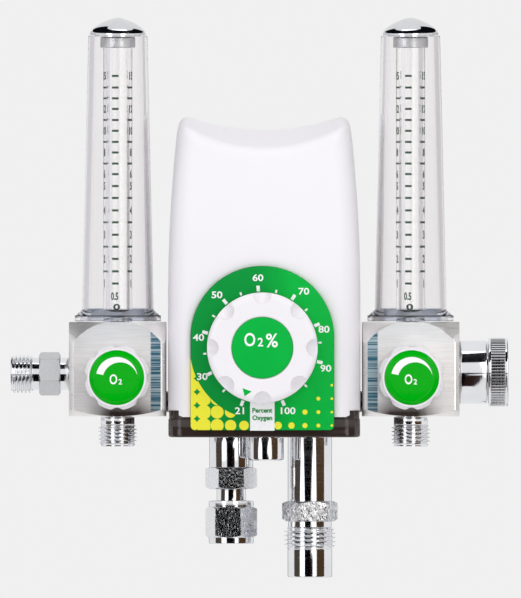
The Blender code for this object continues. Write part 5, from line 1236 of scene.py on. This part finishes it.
def flow_block(name):
    """A milled block with a turned front face and burnished edges."""
    low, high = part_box(f"flow_block_{name}")
    centre = (low + high) / 2
    chamfer = 0.0019
    outline = []
    for x, y, start in (
        (low.x + chamfer, high.y - chamfer, 90), (low.x + chamfer, low.y + chamfer, 180),
        (high.x - chamfer, low.y + chamfer, 270), (high.x - chamfer, high.y - chamfer, 0),
    ):
        outline += arc((x, y), chamfer, start, start + 90, 5)
    block = prism(outline, low.z, high.z)
    depth = high.y - low.y
    knob_low, knob_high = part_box(f"flow_knob_{name}")
    valve_z = (knob_low.z + knob_high.z) / 2
    face_radius, reach, foot, bevel, slope = 0.0208, 0.0537, 0.0564, 0.0022, 0.8
    face = lathe([(0, 0), (face_radius, 0), (reach, -(reach - face_radius) * slope),
                  (reach, -depth - MM), (0, -depth - MM)], 160)
    feet = lathe([(0, MM), (foot - MM, MM), (foot + bevel, -bevel), (2 * foot, -foot),
                  (2 * foot, -depth - foot), (0, -depth - foot)], 320)
    socket, valve = rod(0.0057, MM, -0.0035), rod(0.0055, MM, -0.019)
    block = carved(
        block,
        ("INTERSECT", placed(face, "-Y", (centre.x, low.y, valve_z))),
        ("INTERSECT", placed(feet, "-Y", (centre.x, low.y, low.z + foot))),
        ("DIFFERENCE", placed(socket, "+Z", (centre.x, centre.y, high.z))),
        ("DIFFERENCE", placed(valve, "-Y", (centre.x, low.y, valve_z))),
    )
    block = softened(block, 0.00008, 2)
    block.materials.clear()
    for material in ("block", "face", "edge"):
        block.materials.append(MATERIALS[material])
    # The turned face, with its painted light, looks straight ahead. The burnished edges beside it, darker
    # with painted shade, look ahead and outwards.
    for polygon in block.polygons:
        normal, middle = polygon.normal, polygon.center
        beside = min(middle.x - low.x, high.x - middle.x)
        face = normal.y < -0.99 and middle.y < low.y + 0.0002
        edge = beside < chamfer and normal.y < -0.05 and abs(normal.z) < 0.2 and abs(normal.x) > 0.05
        polygon.material_index = 1 if face else 2 if edge else 0
    piece(f"flow_body_{name}", "housing", "aluminium", [block], [f"flow_block_{name}"])


class BLENDER_UNIT_OT_flow_blocks(bpy.types.Operator):
    """Builds the two milled flowmeter blocks"""

    bl_idname = "blender_unit.flow_blocks"
    bl_label = "Flowmeter blocks"

    def execute(self, context):
        for name in SIDES:
            flow_block(name)
        return {"FINISHED"}


def flow_tube(name):
    """A clear shroud, the graduated tube and its float inside, and the cap on top."""
    lift = size("print_lift")
    low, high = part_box(f"shroud_{name}")
    centre = (low + high) / 2
    at = (centre.x, centre.y, 0)
    top, foot = high.z, low.z
    # The flange's upper side runs up in a short cone to the wall
    cone_foot, cone_top = foot + 0.0017, foot + 0.0043
    mouth, top_bore, foot_bore, flange, wall_foot = 0.0110, 0.0092, 0.0115, 0.0160, 0.0133
    shroud = sleeve([
        (mouth, top - MM), (mouth, top, 0.0003), (top_bore, top, 0.0003),
        (foot_bore, cone_top, 0.001), (foot_bore, foot), (flange, foot, 0.0003),
        (flange, cone_foot, 0.0006), (wall_foot, cone_top, 0.0012),
    ])
    dressed(shroud, "clear", "+Z", at).materials.append(MATERIALS["foot"])
    # The cone takes the foot's finish, whose grey-blue tint is painted shade.
    for polygon in shroud.polygons:
        polygon.material_index = int(cone_foot - 0.0001 < polygon.center.z < cone_top + 0.0004)
    # A thin black ring lies on the flange at the foot of the cone, in the rubber finish.
    ring_foot = cone_foot + 0.00004
    ring_top = ring_foot + 0.00034
    ring_bore = flange - 0.0005
    ring = sleeve([(ring_bore, ring_foot + 0.00005), (ring_bore, ring_foot), (flange, ring_foot, 0.0001),
                   (flange, ring_top, 0.0001), (ring_bore, ring_top)])
    meshes = [shroud, dressed(ring, "rubber", "+Z", at)]
    piece(f"shroud_clear_{name}", "housing", "clear_plastic", meshes, [f"shroud_{name}"])

    tube_low, tube_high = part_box(f"flow_tube_{name}")
    outer, bore = 0.0054, 0.0036
    base, end = tube_low.z, tube_high.z
    tube = sleeve([(outer, base + MM), (outer, end, 0.0003), (bore, end, 0.0003),
                   (bore, base, 0.0003), (outer, base, 0.0003)], MIDDLE)
    meshes = [dressed(tube, "tube", "+Z", at)]
    piece(f"tube_clear_{name}", "housing", "clear_plastic", meshes, [f"flow_tube_{name}"])

    heights = [z * MM for _, z in TUBE_MARKS]
    labelled = (15, 12, 10, 8, 6, 5, 4, 3, 2, 1)
    plain = [z * MM for value, z in TUBE_MARKS if value not in labelled]
    meshes = []
    values = {"Radius": outer + lift / 2, "Thickness": lift, "Material": MATERIALS["tube_ink"]}
    for rows, start, sweep, thick in (
        (heights, -112.0, 25.5, 0.00080), (plain, -171.0, 36.0, 0.00072),
        (plain, -49.0, 35.0, 0.00080),
    ):
        values["Start"], values["Sweep"] = math.radians(start), math.radians(sweep)
        values["Line Height"] = thick
        meshes.append(grown(graduation_tree(), [(0, 0, z) for z in rows], values))
    labels = [(f"{value:g}", z * MM, 0.0030, turn) for value, z in TUBE_MARKS if value in labelled
              for turn in (-64.0, 62.0)]
    labels += [("0.5", 0.0014, 0.0029, -12.0), ("0", -0.0026, 0.0024, -4.0)]
    for text, z, height, turn in labels:
        label = words(text, height, lift, 0.035)
        wide = {"0.5": 0.6, "0": 1.6}.get(text, 0.75)
        for vertex in label.vertices:
            a = math.radians(turn) + wide * vertex.co.x / outer
            reach = outer + INK_GAP + vertex.co.z
            vertex.co = (reach * math.sin(a), -reach * math.cos(a), z + vertex.co.y)
        meshes.append(label)
    meshes = [dressed(m, "tube_ink", "+Z", at) for m in meshes]
    piece(f"tube_scale_{name}", "housing", "clear_plastic", meshes)

    cap_low, cap_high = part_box(f"tube_cap_{name}")
    seat = top + 0.0003
    rise, radius, blunt = cap_high.z - seat, 0.0105, 0.002
    dome = []
    for i in range(29):
        reach = radius * math.sin(math.pi / 2 * i / 28)
        share = (math.hypot(reach, blunt) - blunt) / (math.hypot(radius, blunt) - blunt)
        dome.append((reach, seat + rise * math.sqrt(max(0.0, 1 - share))))
    cap = lathe(dome + [(0.0088, seat), (0.0088, cap_low.z), (0, cap_low.z)], LARGE)

    low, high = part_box(f"tube_bushing_{name}")
    inside, bush, bush_bore = end + 0.0003, 0.0065, 0.0057
    bushing = lathe(eased([(0, high.z), (bush, high.z, 0.0004), (bush, low.z, 0.0004),
                           (bush_bore, low.z, 0.0002), (bush_bore, inside), (0, inside)]), MIDDLE)

    low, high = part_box(f"tube_seal_{name}")
    seal_bore = 0.0018
    seal = sleeve([(outer, low.z + 0.0006), (outer, high.z, 0.0003), (seal_bore, high.z, 0.0002),
                   (seal_bore, low.z), (outer, low.z, 0.0003)], MIDDLE)

    low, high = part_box(f"float_{name}")
    middle, radius = (low.z + high.z) / 2, (high.z - low.z) / 2
    half_turn = [math.pi * i / 24 for i in range(25)]
    ball = lathe([(radius * math.sin(a), middle + radius * math.cos(a)) for a in half_turn], SMALL)

    for label, body, slot, mesh, finish_name, node in (
        ("cap_dome", "housing", "steel", cap, "steel", "tube_cap"),
        ("bushing", "housing", "aluminium", bushing, "slide", "tube_bushing"),
        ("seal", "housing", "rubber", seal, "rubber", "tube_seal"),
        ("float_ball", f"{name}_float", "steel", ball, "steel", "float"),
    ):
        meshes = [dressed(mesh, finish_name, "+Z", at)]
        piece(f"{label}_{name}", body, slot, meshes, [f"{node}_{name}"])


class BLENDER_UNIT_OT_flow_tubes(bpy.types.Operator):
    """Builds the shrouds, graduated tubes, caps, seals and floats"""

    bl_idname = "blender_unit.flow_tubes"
    bl_label = "Flow tubes"

    def execute(self, context):
        for name in SIDES:
            flow_tube(name)
        return {"FINISHED"}


# Fittings


class BLENDER_UNIT_OT_outlets(bpy.types.Operator):
    """Builds the threaded outlets below the blocks and on the left"""

    bl_idname = "blender_unit.outlets"
    bl_label = "Threaded outlets"

    def execute(self, context):
        pitch = size("outlet_pitch")
        root, crest, bore = 0.0062, 0.00714, 0.0032
        for name in SIDES:
            low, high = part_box(f"outlet_fitting_{name}")
            centre = (low + high) / 2
            at = (centre.x, centre.y, OUTLET_TOP)
            end = OUTLET_TOP - low.z
            body = sleeve([
                (0.0053, -0.0027), (0.0053, 0), (0.0063, 0, 0.0002), (0.0063, 0.0027, 0.0002),
                (0.0061, 0.0029), (0.0061, end, 0.0005), (bore, end, 0.0004), (bore, -0.0027),
            ], MIDDLE)
            start = (at[0], at[1], at[2] - 0.0026)
            helix = thread("chrome_z", root, crest, pitch, end - 0.0028, "-Z", start, 0.0058)
            meshes = [dressed(body, "chrome_z", "-Z", at), helix]
            piece(f"outlet_{name}", "housing", "chrome", meshes, [f"outlet_fitting_{name}"])

        low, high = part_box("auxiliary_outlet")
        centre = (low + high) / 2
        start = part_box("flow_block_left")[0].x - 0.0003
        at = (start, centre.y, centre.z)
        end = start - low.x
        hex_start, hex_end = 0.003, 0.0109
        body = sleeve([(STEM, STEM_END), (STEM, 0), (0.0060, 0, 0.0002), (0.0060, end, 0.0005),
                       (bore, end, 0.0004), (bore, STEM_END)], MIDDLE)
        drill = rod(0.0055, THROUGH, -THROUGH)
        hexagon = smooth(carved(hexagon_bar(0.0164, hex_start, hex_end, 12.0), ("DIFFERENCE", drill)))
        start = (at[0] - hex_end - 0.0021, at[1], at[2])
        helix = thread("chrome_x", root, crest, pitch, end - hex_end - 0.0022, "-X", start, 0.0056)
        meshes = [dressed(body, "chrome_x", "-X", at), dressed(hexagon, "satin", "-X", at), helix]
        piece("side_outlet", "housing", "chrome", meshes, ["auxiliary_outlet"])
        return {"FINISHED"}


class BLENDER_UNIT_OT_quick_connect(bpy.types.Operator):
    """Builds the right outlet's barrel and its knurled collar"""

    bl_idname = "blender_unit.quick_connect"
    bl_label = "Quick connect"

    def execute(self, context):
        low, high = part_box("auxiliary_barrel")
        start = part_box("flow_block_right")[1].x + 0.0003
        centre = (low + high) / 2
        at = (start, centre.y, centre.z)
        end, body_end = high.x - start, 0.0100
        barrel = sleeve([
            (STEM, STEM_END), (STEM, 0), (0.01175, 0, 0.0004), (0.01175, body_end, 0.0005),
            (0.0085, body_end, 0.0001), (0.0085, end - MM), (0.0093, end - MM, 0.0002),
            (0.0093, end, 0.0003), (0.0055, end, 0.0005), (0.0055, end - 0.012), (0.0018, end - 0.012),
            (0.0018, STEM_END),
        ])
        meshes = [dressed(barrel, "chrome_x", "+X", at)]
        piece("quick_barrel", "housing", "chrome", meshes, ["auxiliary_barrel"])
        low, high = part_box("auxiliary_collar")
        radius = (high.z - low.z) / 2
        first, last = low.x - start, high.x - start
        edge = 0.0007
        ring = radius - 0.0004
        step = end - 0.0013
        collar = sleeve([
            (ring - edge, last), (radius, last - edge * 0.3, 0.0003), (radius, last - edge * 1.6, 0.0002),
            (ring, last - edge * 2.1), (ring, first + edge * 2.1), (radius, first + edge * 1.6, 0.0002),
            (radius, first + edge * 0.3, 0.0003), (ring - edge, first), (0.0088, first), (0.0088, step),
            (0.0096, step), (0.0096, last),
        ])
        count = size("knurl_ribs")
        values = {"Count": count, "Radius": ring - 0.0001, "Rib Width": math.tau * ring / count * 0.92,
                  "Rib Length": last - first - edge * 3.6, "Material": MATERIALS["chrome_x"]}
        ribs = grown(rib_tree(), [(0, 0, 0)], values)
        ribs.transform(Matrix.Translation((0, 0, (first + last) / 2)))
        meshes = [dressed(m, "chrome_x", "+X", at) for m in (collar, ribs)]
        piece("knurled_collar", "outlet_collar", "chrome", meshes, ["auxiliary_collar"])
        return {"FINISHED"}


class BLENDER_UNIT_OT_oxygen_inlet(bpy.types.Operator):
    """Builds the oxygen inlet and its swivel nut"""

    bl_idname = "blender_unit.oxygen_inlet"
    bl_label = "Oxygen inlet"

    def execute(self, context):
        low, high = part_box("oxygen_inlet")
        centre = (low + high) / 2
        at = (centre.x, centre.y, FITTING_TOP)
        end = FITTING_TOP - low.z
        hex_start, hex_end = 0.0109, 0.0191
        body = sleeve([
            (0.0030, STEM_END), (STEM, STEM_END), (STEM, 0), (0.00815, 0), (0.00815, hex_start + MM),
            (0.00545, hex_end - MM), (0.00545, 0.0258, 0.0003), (0.0066, 0.0258, 0.0003),
            (0.0066, 0.0268, 0.0003), (0.0048, end), (0.0026, end),
        ])
        hexagon = hexagon_bar(0.0192, hex_start, hex_end)
        meshes = [dressed(body, "chrome_z", "-Z", at), dressed(hexagon, "flats", "-Z", at)]
        piece("oxygen_fitting", "housing", "chrome", meshes, ["oxygen_inlet"])

        low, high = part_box("oxygen_nut")
        first, last = FITTING_TOP - high.z, FITTING_TOP - low.z
        collar = 0.0022
        ends = sleeve([(0.00575, first), (0.00835, first, 0.0004), (0.00835, first + collar + MM),
                       (0.00835, last - collar - MM), (0.00835, last, 0.0004), (0.00714, last, 0.0003),
                       (0.00714, first + collar), (0.00575, first + collar)])
        hollow = rod(0.0078, last, first, MIDDLE)
        hexagon = carved(hexagon_bar(0.0194, first + collar, last - collar, 8.0), ("DIFFERENCE", hollow))
        meshes = [dressed(ends, "chrome_z", "-Z", at), dressed(smooth(hexagon), "flats", "-Z", at)]
        piece("swivel_nut", "inlet_nut", "chrome", meshes, ["oxygen_nut"])
        return {"FINISHED"}


class BLENDER_UNIT_OT_air_inlet(bpy.types.Operator):
    """Builds the air inlet with its thread and nose"""

    bl_idname = "blender_unit.air_inlet"
    bl_label = "Air inlet"

    def execute(self, context):
        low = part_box("air_inlet")[0]
        at = (0.0169, -0.033, FITTING_TOP)
        end = FITTING_TOP - low.z
        hex_start, hex_end, thread_start, thread_end = 0.0235, 0.0311, 0.0334, 0.0411
        body = sleeve([
            (0.0040, STEM_END), (STEM, STEM_END), (STEM, 0), (0.00825, 0), (0.00825, hex_start + MM),
            (0.0081, hex_end - MM), (0.0081, thread_end + 0.0004), (0.0083, thread_end + 0.0005),
            (0.0083, end, 0.0007), (0.0055, end, 0.0006), (0.0055, end - 0.012), (0.0040, end - 0.012),
        ])
        hexagon = hexagon_bar(0.0208, hex_start, hex_end, -8.0)
        start, length = (at[0], at[1], at[2] - thread_start + 0.0003), thread_end - thread_start + 0.0006
        helix = thread("chrome_z", 0.0083, 0.0095, size("air_pitch"), length, "-Z", start, 0.0075, MIDDLE)
        meshes = [dressed(body, "chrome_z", "-Z", at), dressed(hexagon, "forged", "-Z", at), helix]
        piece("air_fitting", "housing", "chrome", meshes, ["air_inlet"])
        return {"FINISHED"}


class BLENDER_UNIT_OT_alarm_outlet(bpy.types.Operator):
    """Builds the alarm outlet between the inlets"""

    bl_idname = "blender_unit.alarm_outlet"
    bl_label = "Alarm outlet"

    def execute(self, context):
        low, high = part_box("alarm_outlet")
        centre = (low + high) / 2
        at = (centre.x, centre.y, FITTING_TOP)
        end = FITTING_TOP - low.z
        body = lathe(eased([
            (0, STEM_END), (STEM, STEM_END), (STEM, 0), (0.0066, 0), (0.0066, end, 0.0009),
            (0.0035, end, 0.0003), (0.0035, end - 0.006), (0, end - 0.006),
        ]), LARGE)
        piece("alarm_cup", "housing", "chrome", [dressed(body, "chrome_z", "-Z", at)], ["alarm_outlet"])
        return {"FINISHED"}


# Wall side and inner parts


class BLENDER_UNIT_OT_wall_side(bpy.types.Operator):
    """Builds the wall slide, the rear plate and the slide's screws"""

    bl_idname = "blender_unit.wall_side"
    bl_label = "Wall side"

    def execute(self, context):
        for name, node, ease in (("dovetail", "wall_slide", 0.0002), ("rear_plate", "back_plate", 0.0)):
            piece(name, "housing", "aluminium", [dressed(merged_copy(node, ease), "slide")], [node])
        low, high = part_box("slide_screw_upper")
        middle = (low.z + high.z) / 2
        values = {"Head Radius": 0.0042, "Head Height": 0.004, "Shank Radius": 0.0025,
                  "Length": high.y - low.y - MM, "Socket Radius": 0.0018, "Socket Depth": 0.002,
                  "Material": MATERIALS["screw"]}
        screws = grown(screw_tree(), [(0, middle, 0), (0, -middle, 0)], values)
        meshes = [dressed(softened(screws, 0.0002), "screw", "+Y", (0, high.y, 0))]
        piece("slide_screws", "housing", "steel", meshes, ["slide_screw_upper", "slide_screw_lower"])
        return {"FINISHED"}


class BLENDER_UNIT_OT_inner_parts(bpy.types.Operator):
    """Gives the enclosed solids their own finishes"""

    bl_idname = "blender_unit.inner_parts"
    bl_label = "Inner parts"

    def execute(self, context):
        finishes = {
            "mix_cartridge": "brass", "mix_gland": "brass", "mix_spindle": "screw",
            "balance_sleeve": "brass", "balance_plug": "slide", "balance_spool": "screw",
            "balance_diaphragm": "rubber", "bonnet": "brass", "flow_stem": "screw",
            "oxygen_filter": "bronze", "air_filter": "bronze",
            "oxygen_check_valve": "rubber", "air_check_valve": "rubber", "connector": "dark",
            "cover_screw": "screw",
        }
        for name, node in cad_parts.items():
            if node.hide_render:
                continue
            finish = next(f for start, f in finishes.items() if name.startswith(start))
            node.data.materials.clear()
            node.data.materials.append(MATERIALS[finish])
        return {"FINISHED"}


# Stage


def backdrop_material(name, shade):
    """Matt paper. Far off it shows one even tone; near the object it takes the shadow."""
    material = bpy.data.materials.new(name)
    material.use_nodes = True
    tree = material.node_tree
    shader = tree.nodes["Principled BSDF"]
    shader.inputs["Base Color"].default_value = shade
    shader.inputs["Roughness"].default_value = 0.9
    place = add_node(tree, "ShaderNodeTexCoord").outputs["Object"]
    rays = add_node(tree, "ShaderNodeLightPath").outputs
    seen = rays["Is Camera Ray"]
    for other in ("Is Glossy Ray", "Is Transmission Ray"):
        seen = add_node(tree, "ShaderNodeMath", {0: seen, 1: rays[other]}, operation="MAXIMUM")
    away = add_node(tree, "ShaderNodeVectorMath", {0: place}, operation="LENGTH").outputs["Value"]
    limits = {"Value": away, "From Min": 0.16, "From Max": 0.42}
    far = add_node(tree, "ShaderNodeMapRange", limits, interpolation_type="SMOOTHSTEP")
    far = add_node(tree, "ShaderNodeMapRange", {"Value": far, "To Min": 0.85})
    share = add_node(tree, "ShaderNodeMath", {0: far, 1: seen}, operation="MULTIPLY")
    plain = add_node(tree, "ShaderNodeEmission", {"Color": shade, "Strength": 1.0})
    mix = add_node(tree, "ShaderNodeMixShader", {0: share, 1: shader, 2: plain})
    tree.links.new(mix.outputs[0], tree.nodes["Material Output"].inputs["Surface"])
    return material


def dark_shell(name, azimuths, elevations, tone, top=None, seen_through=False):
    """A curved card that only reflections see. Azimuth 0 is in front, and positive is to the right.

    Where top azimuths are given, the card's sides slant from them down to its own ones.
    """
    across, up = 24, 48 if top else 12
    work = bmesh.new()
    rows = []
    for k in range(up + 1):
        degrees = elevations[0] + (elevations[1] - elevations[0]) * k / up
        share = max(0.0, (degrees - SLANT_END) / (elevations[1] - SLANT_END))
        start, end = (a + (b - a) * share for a, b in zip(azimuths, top or azimuths))
        rise = math.radians(degrees)
        flat, height = CARD_REACH * math.cos(rise), CARD_REACH * math.sin(rise)
        turns = [math.radians(start + (end - start) * i / across) for i in range(across + 1)]
        rows.append([work.verts.new((flat * math.sin(a), -flat * math.cos(a), height)) for a in turns])
    for lower, upper in zip(rows, rows[1:]):
        for i in range(across):
            work.faces.new((lower[i], lower[i + 1], upper[i + 1], upper[i]))
    mesh = mesh_from(work)
    material = bpy.data.materials.new(name)
    material.use_nodes = True
    tree = material.node_tree
    emission = add_node(tree, "ShaderNodeEmission", {"Color": solid_colour(tone), "Strength": 1.0})
    tree.links.new(emission.outputs[0], tree.nodes["Material Output"].inputs["Surface"])
    mesh.materials.append(material)
    card = linked(name, mesh)
    card.visible_camera = False
    card.visible_diffuse = False
    card.visible_transmission = seen_through
    card.visible_shadow = False
    card.visible_volume_scatter = False


def soft_lamp(name, azimuth, elevation, distance, width, height, watts, tone, roll=0.0):
    """A soft box that faces the object, turned about its own axis by the roll in degrees."""
    lamp = bpy.data.lights.new(name, "AREA")
    lamp.shape = "RECTANGLE"
    lamp.size = width
    lamp.size_y = height
    lamp.energy = watts
    lamp.color = linear(tone)
    turn, rise = math.radians(azimuth), math.radians(elevation)
    flat = distance * math.cos(rise)
    at = Vector((flat * math.sin(turn), -flat * math.cos(turn), distance * math.sin(rise)))
    thing = linked(name, lamp)
    thing.location = at
    facing = at.to_track_quat("Z", "Y").to_matrix().to_4x4() @ Matrix.Rotation(math.radians(roll), 4, "Z")
    thing.rotation_euler = facing.to_euler()
    thing.visible_camera = False


class BLENDER_UNIT_OT_stage(bpy.types.Operator):
    """Sets the floor, the soft lamps, the dark cards and the camera"""

    bl_idname = "blender_unit.stage"
    bl_label = "Stage"

    def execute(self, context):
        shade = colour("backdrop")
        work = bmesh.new()
        bmesh.ops.create_circle(work, cap_ends=True, segments=64, radius=6.0)
        mesh = mesh_from(work)
        mesh.transform(Matrix.Translation((0, 0, FLOOR_Z)))
        mesh.materials.append(backdrop_material("pale paper floor", shade))
        linked("floor", mesh)

        world = bpy.data.worlds.new("pale room")
        world.use_nodes = True
        tree = world.node_tree
        tree.nodes.clear()
        rays = add_node(tree, "ShaderNodeLightPath").outputs
        seen = rays["Is Camera Ray"]
        for other in ("Is Glossy Ray", "Is Transmission Ray"):
            seen = add_node(tree, "ShaderNodeMath", {0: seen, 1: rays[other]}, operation="MAXIMUM")
        room = add_node(tree, "ShaderNodeBackground", {"Color": solid_colour("#F4F3F8"), "Strength": 0.79})
        paper = add_node(tree, "ShaderNodeBackground", {"Color": shade, "Strength": 1.0})
        mix = add_node(tree, "ShaderNodeMixShader", {0: seen, 1: room, 2: paper})
        add_node(tree, "ShaderNodeOutputWorld", {"Surface": mix})
        bpy.context.scene.world = world

        # Azimuth and elevation, how far off, width and height, watts and colour
        soft_lamp("left soft box", -37, 8, 1.3, 0.48, 1.5, 2.9, "#F6F7FF")
        soft_lamp("right soft box", 21, 8, 1.3, 0.48, 1.5, 2.6, "#FFFBF6")
        soft_lamp("top soft box", 0, 68, 1.2, 1.0, 0.5, 2.2, "#FFFFFF")
        soft_lamp("corner strip", 38, 40, 1.2, 0.6, 0.09, 1.4, "#FFFFFF", -45)
        # From and to these azimuths, then these elevations
        low = (-52, -4.9)
        dark_shell("front card", (-23, 6), low, "#060607", top=(-34, 24))
        dark_shell("left side card", (-84, -49), low, "#4A423C", top=(-84, -36))
        dark_shell("right side card", (35, 76), low, "#4B3826", top=(26, 76))
        dark_shell("left room card", (-150, -95), (-5, 26), "#CFCDD4", seen_through=True)
        dark_shell("right room card", (95, 150), (-5, 26), "#CBC8CB", seen_through=True)
        dark_shell("high card", (-178, 178), (30, 66), "#0C0C10", top=(-125, 125))
        dark_shell("right low card", (5, 16), (-50, -13), "#2A1C18")
        dark_shell("left rear card", (-160, -150), low, "#30363E")
        dark_shell("right rear card", (150, 160), low, "#30363E")

        lens = bpy.data.cameras.new("camera")
        lens.sensor_width = SENSOR_WIDTH
        lens.lens = SENSOR_WIDTH * CAMERA_AWAY / (PICTURE_HEIGHT / PIXELS_PER_MM * MM)
        lens.clip_start = 0.05
        lens.clip_end = 50.0
        camera = linked("camera", lens)
        camera.location = (-0.00137, -0.035 - CAMERA_AWAY, 0.0004)
        camera.rotation_euler = (math.pi / 2, 0, 0)
        bpy.context.scene.camera = camera
        bpy.context.scene.view_settings.view_transform = "Standard"
        return {"FINISHED"}


class BLENDER_UNIT_PT_pieces(bpy.types.Panel):
    """Lists the pieces and the sizes and colours that they use"""

    bl_label = "Air oxygen blender"
    bl_idname = "BLENDER_UNIT_PT_pieces"
    bl_space_type = "VIEW_3D"
    bl_region_type = "UI"
    bl_category = "Air oxygen blender"

    def draw(self, context):
        for operator in OPERATORS:
            self.layout.operator(operator.bl_idname)
        for group in (context.scene.blender_unit_sizes, context.scene.blender_unit_colours):
            box = self.layout.box()
            for name in group.__annotations__:
                box.prop(group, name)


OPERATORS = (
    BLENDER_UNIT_OT_cover,
    BLENDER_UNIT_OT_base,
    BLENDER_UNIT_OT_dial,
    BLENDER_UNIT_OT_mixing_knob,
    BLENDER_UNIT_OT_flow_knobs,
    BLENDER_UNIT_OT_flow_blocks,
    BLENDER_UNIT_OT_flow_tubes,
    BLENDER_UNIT_OT_outlets,
    BLENDER_UNIT_OT_quick_connect,
    BLENDER_UNIT_OT_oxygen_inlet,
    BLENDER_UNIT_OT_air_inlet,
    BLENDER_UNIT_OT_alarm_outlet,
    BLENDER_UNIT_OT_wall_side,
    BLENDER_UNIT_OT_inner_parts,
    BLENDER_UNIT_OT_stage,
)
CLASSES = (BlenderUnitSizes, BlenderUnitColours, *OPERATORS, BLENDER_UNIT_PT_pieces)


def register():
    for made in CLASSES:
        bpy.utils.register_class(made)
    bpy.types.Scene.blender_unit_sizes = bpy.props.PointerProperty(type=BlenderUnitSizes)
    bpy.types.Scene.blender_unit_colours = bpy.props.PointerProperty(type=BlenderUnitColours)


def unregister():
    del bpy.types.Scene.blender_unit_colours
    del bpy.types.Scene.blender_unit_sizes
    for made in reversed(CLASSES):
        bpy.utils.unregister_class(made)


def main():
    register()
    make_materials()
    for operator in OPERATORS:
        group, name = operator.bl_idname.split(".")
        getattr(getattr(bpy.ops, group), name)()


if __name__ == "__main__":
    main()
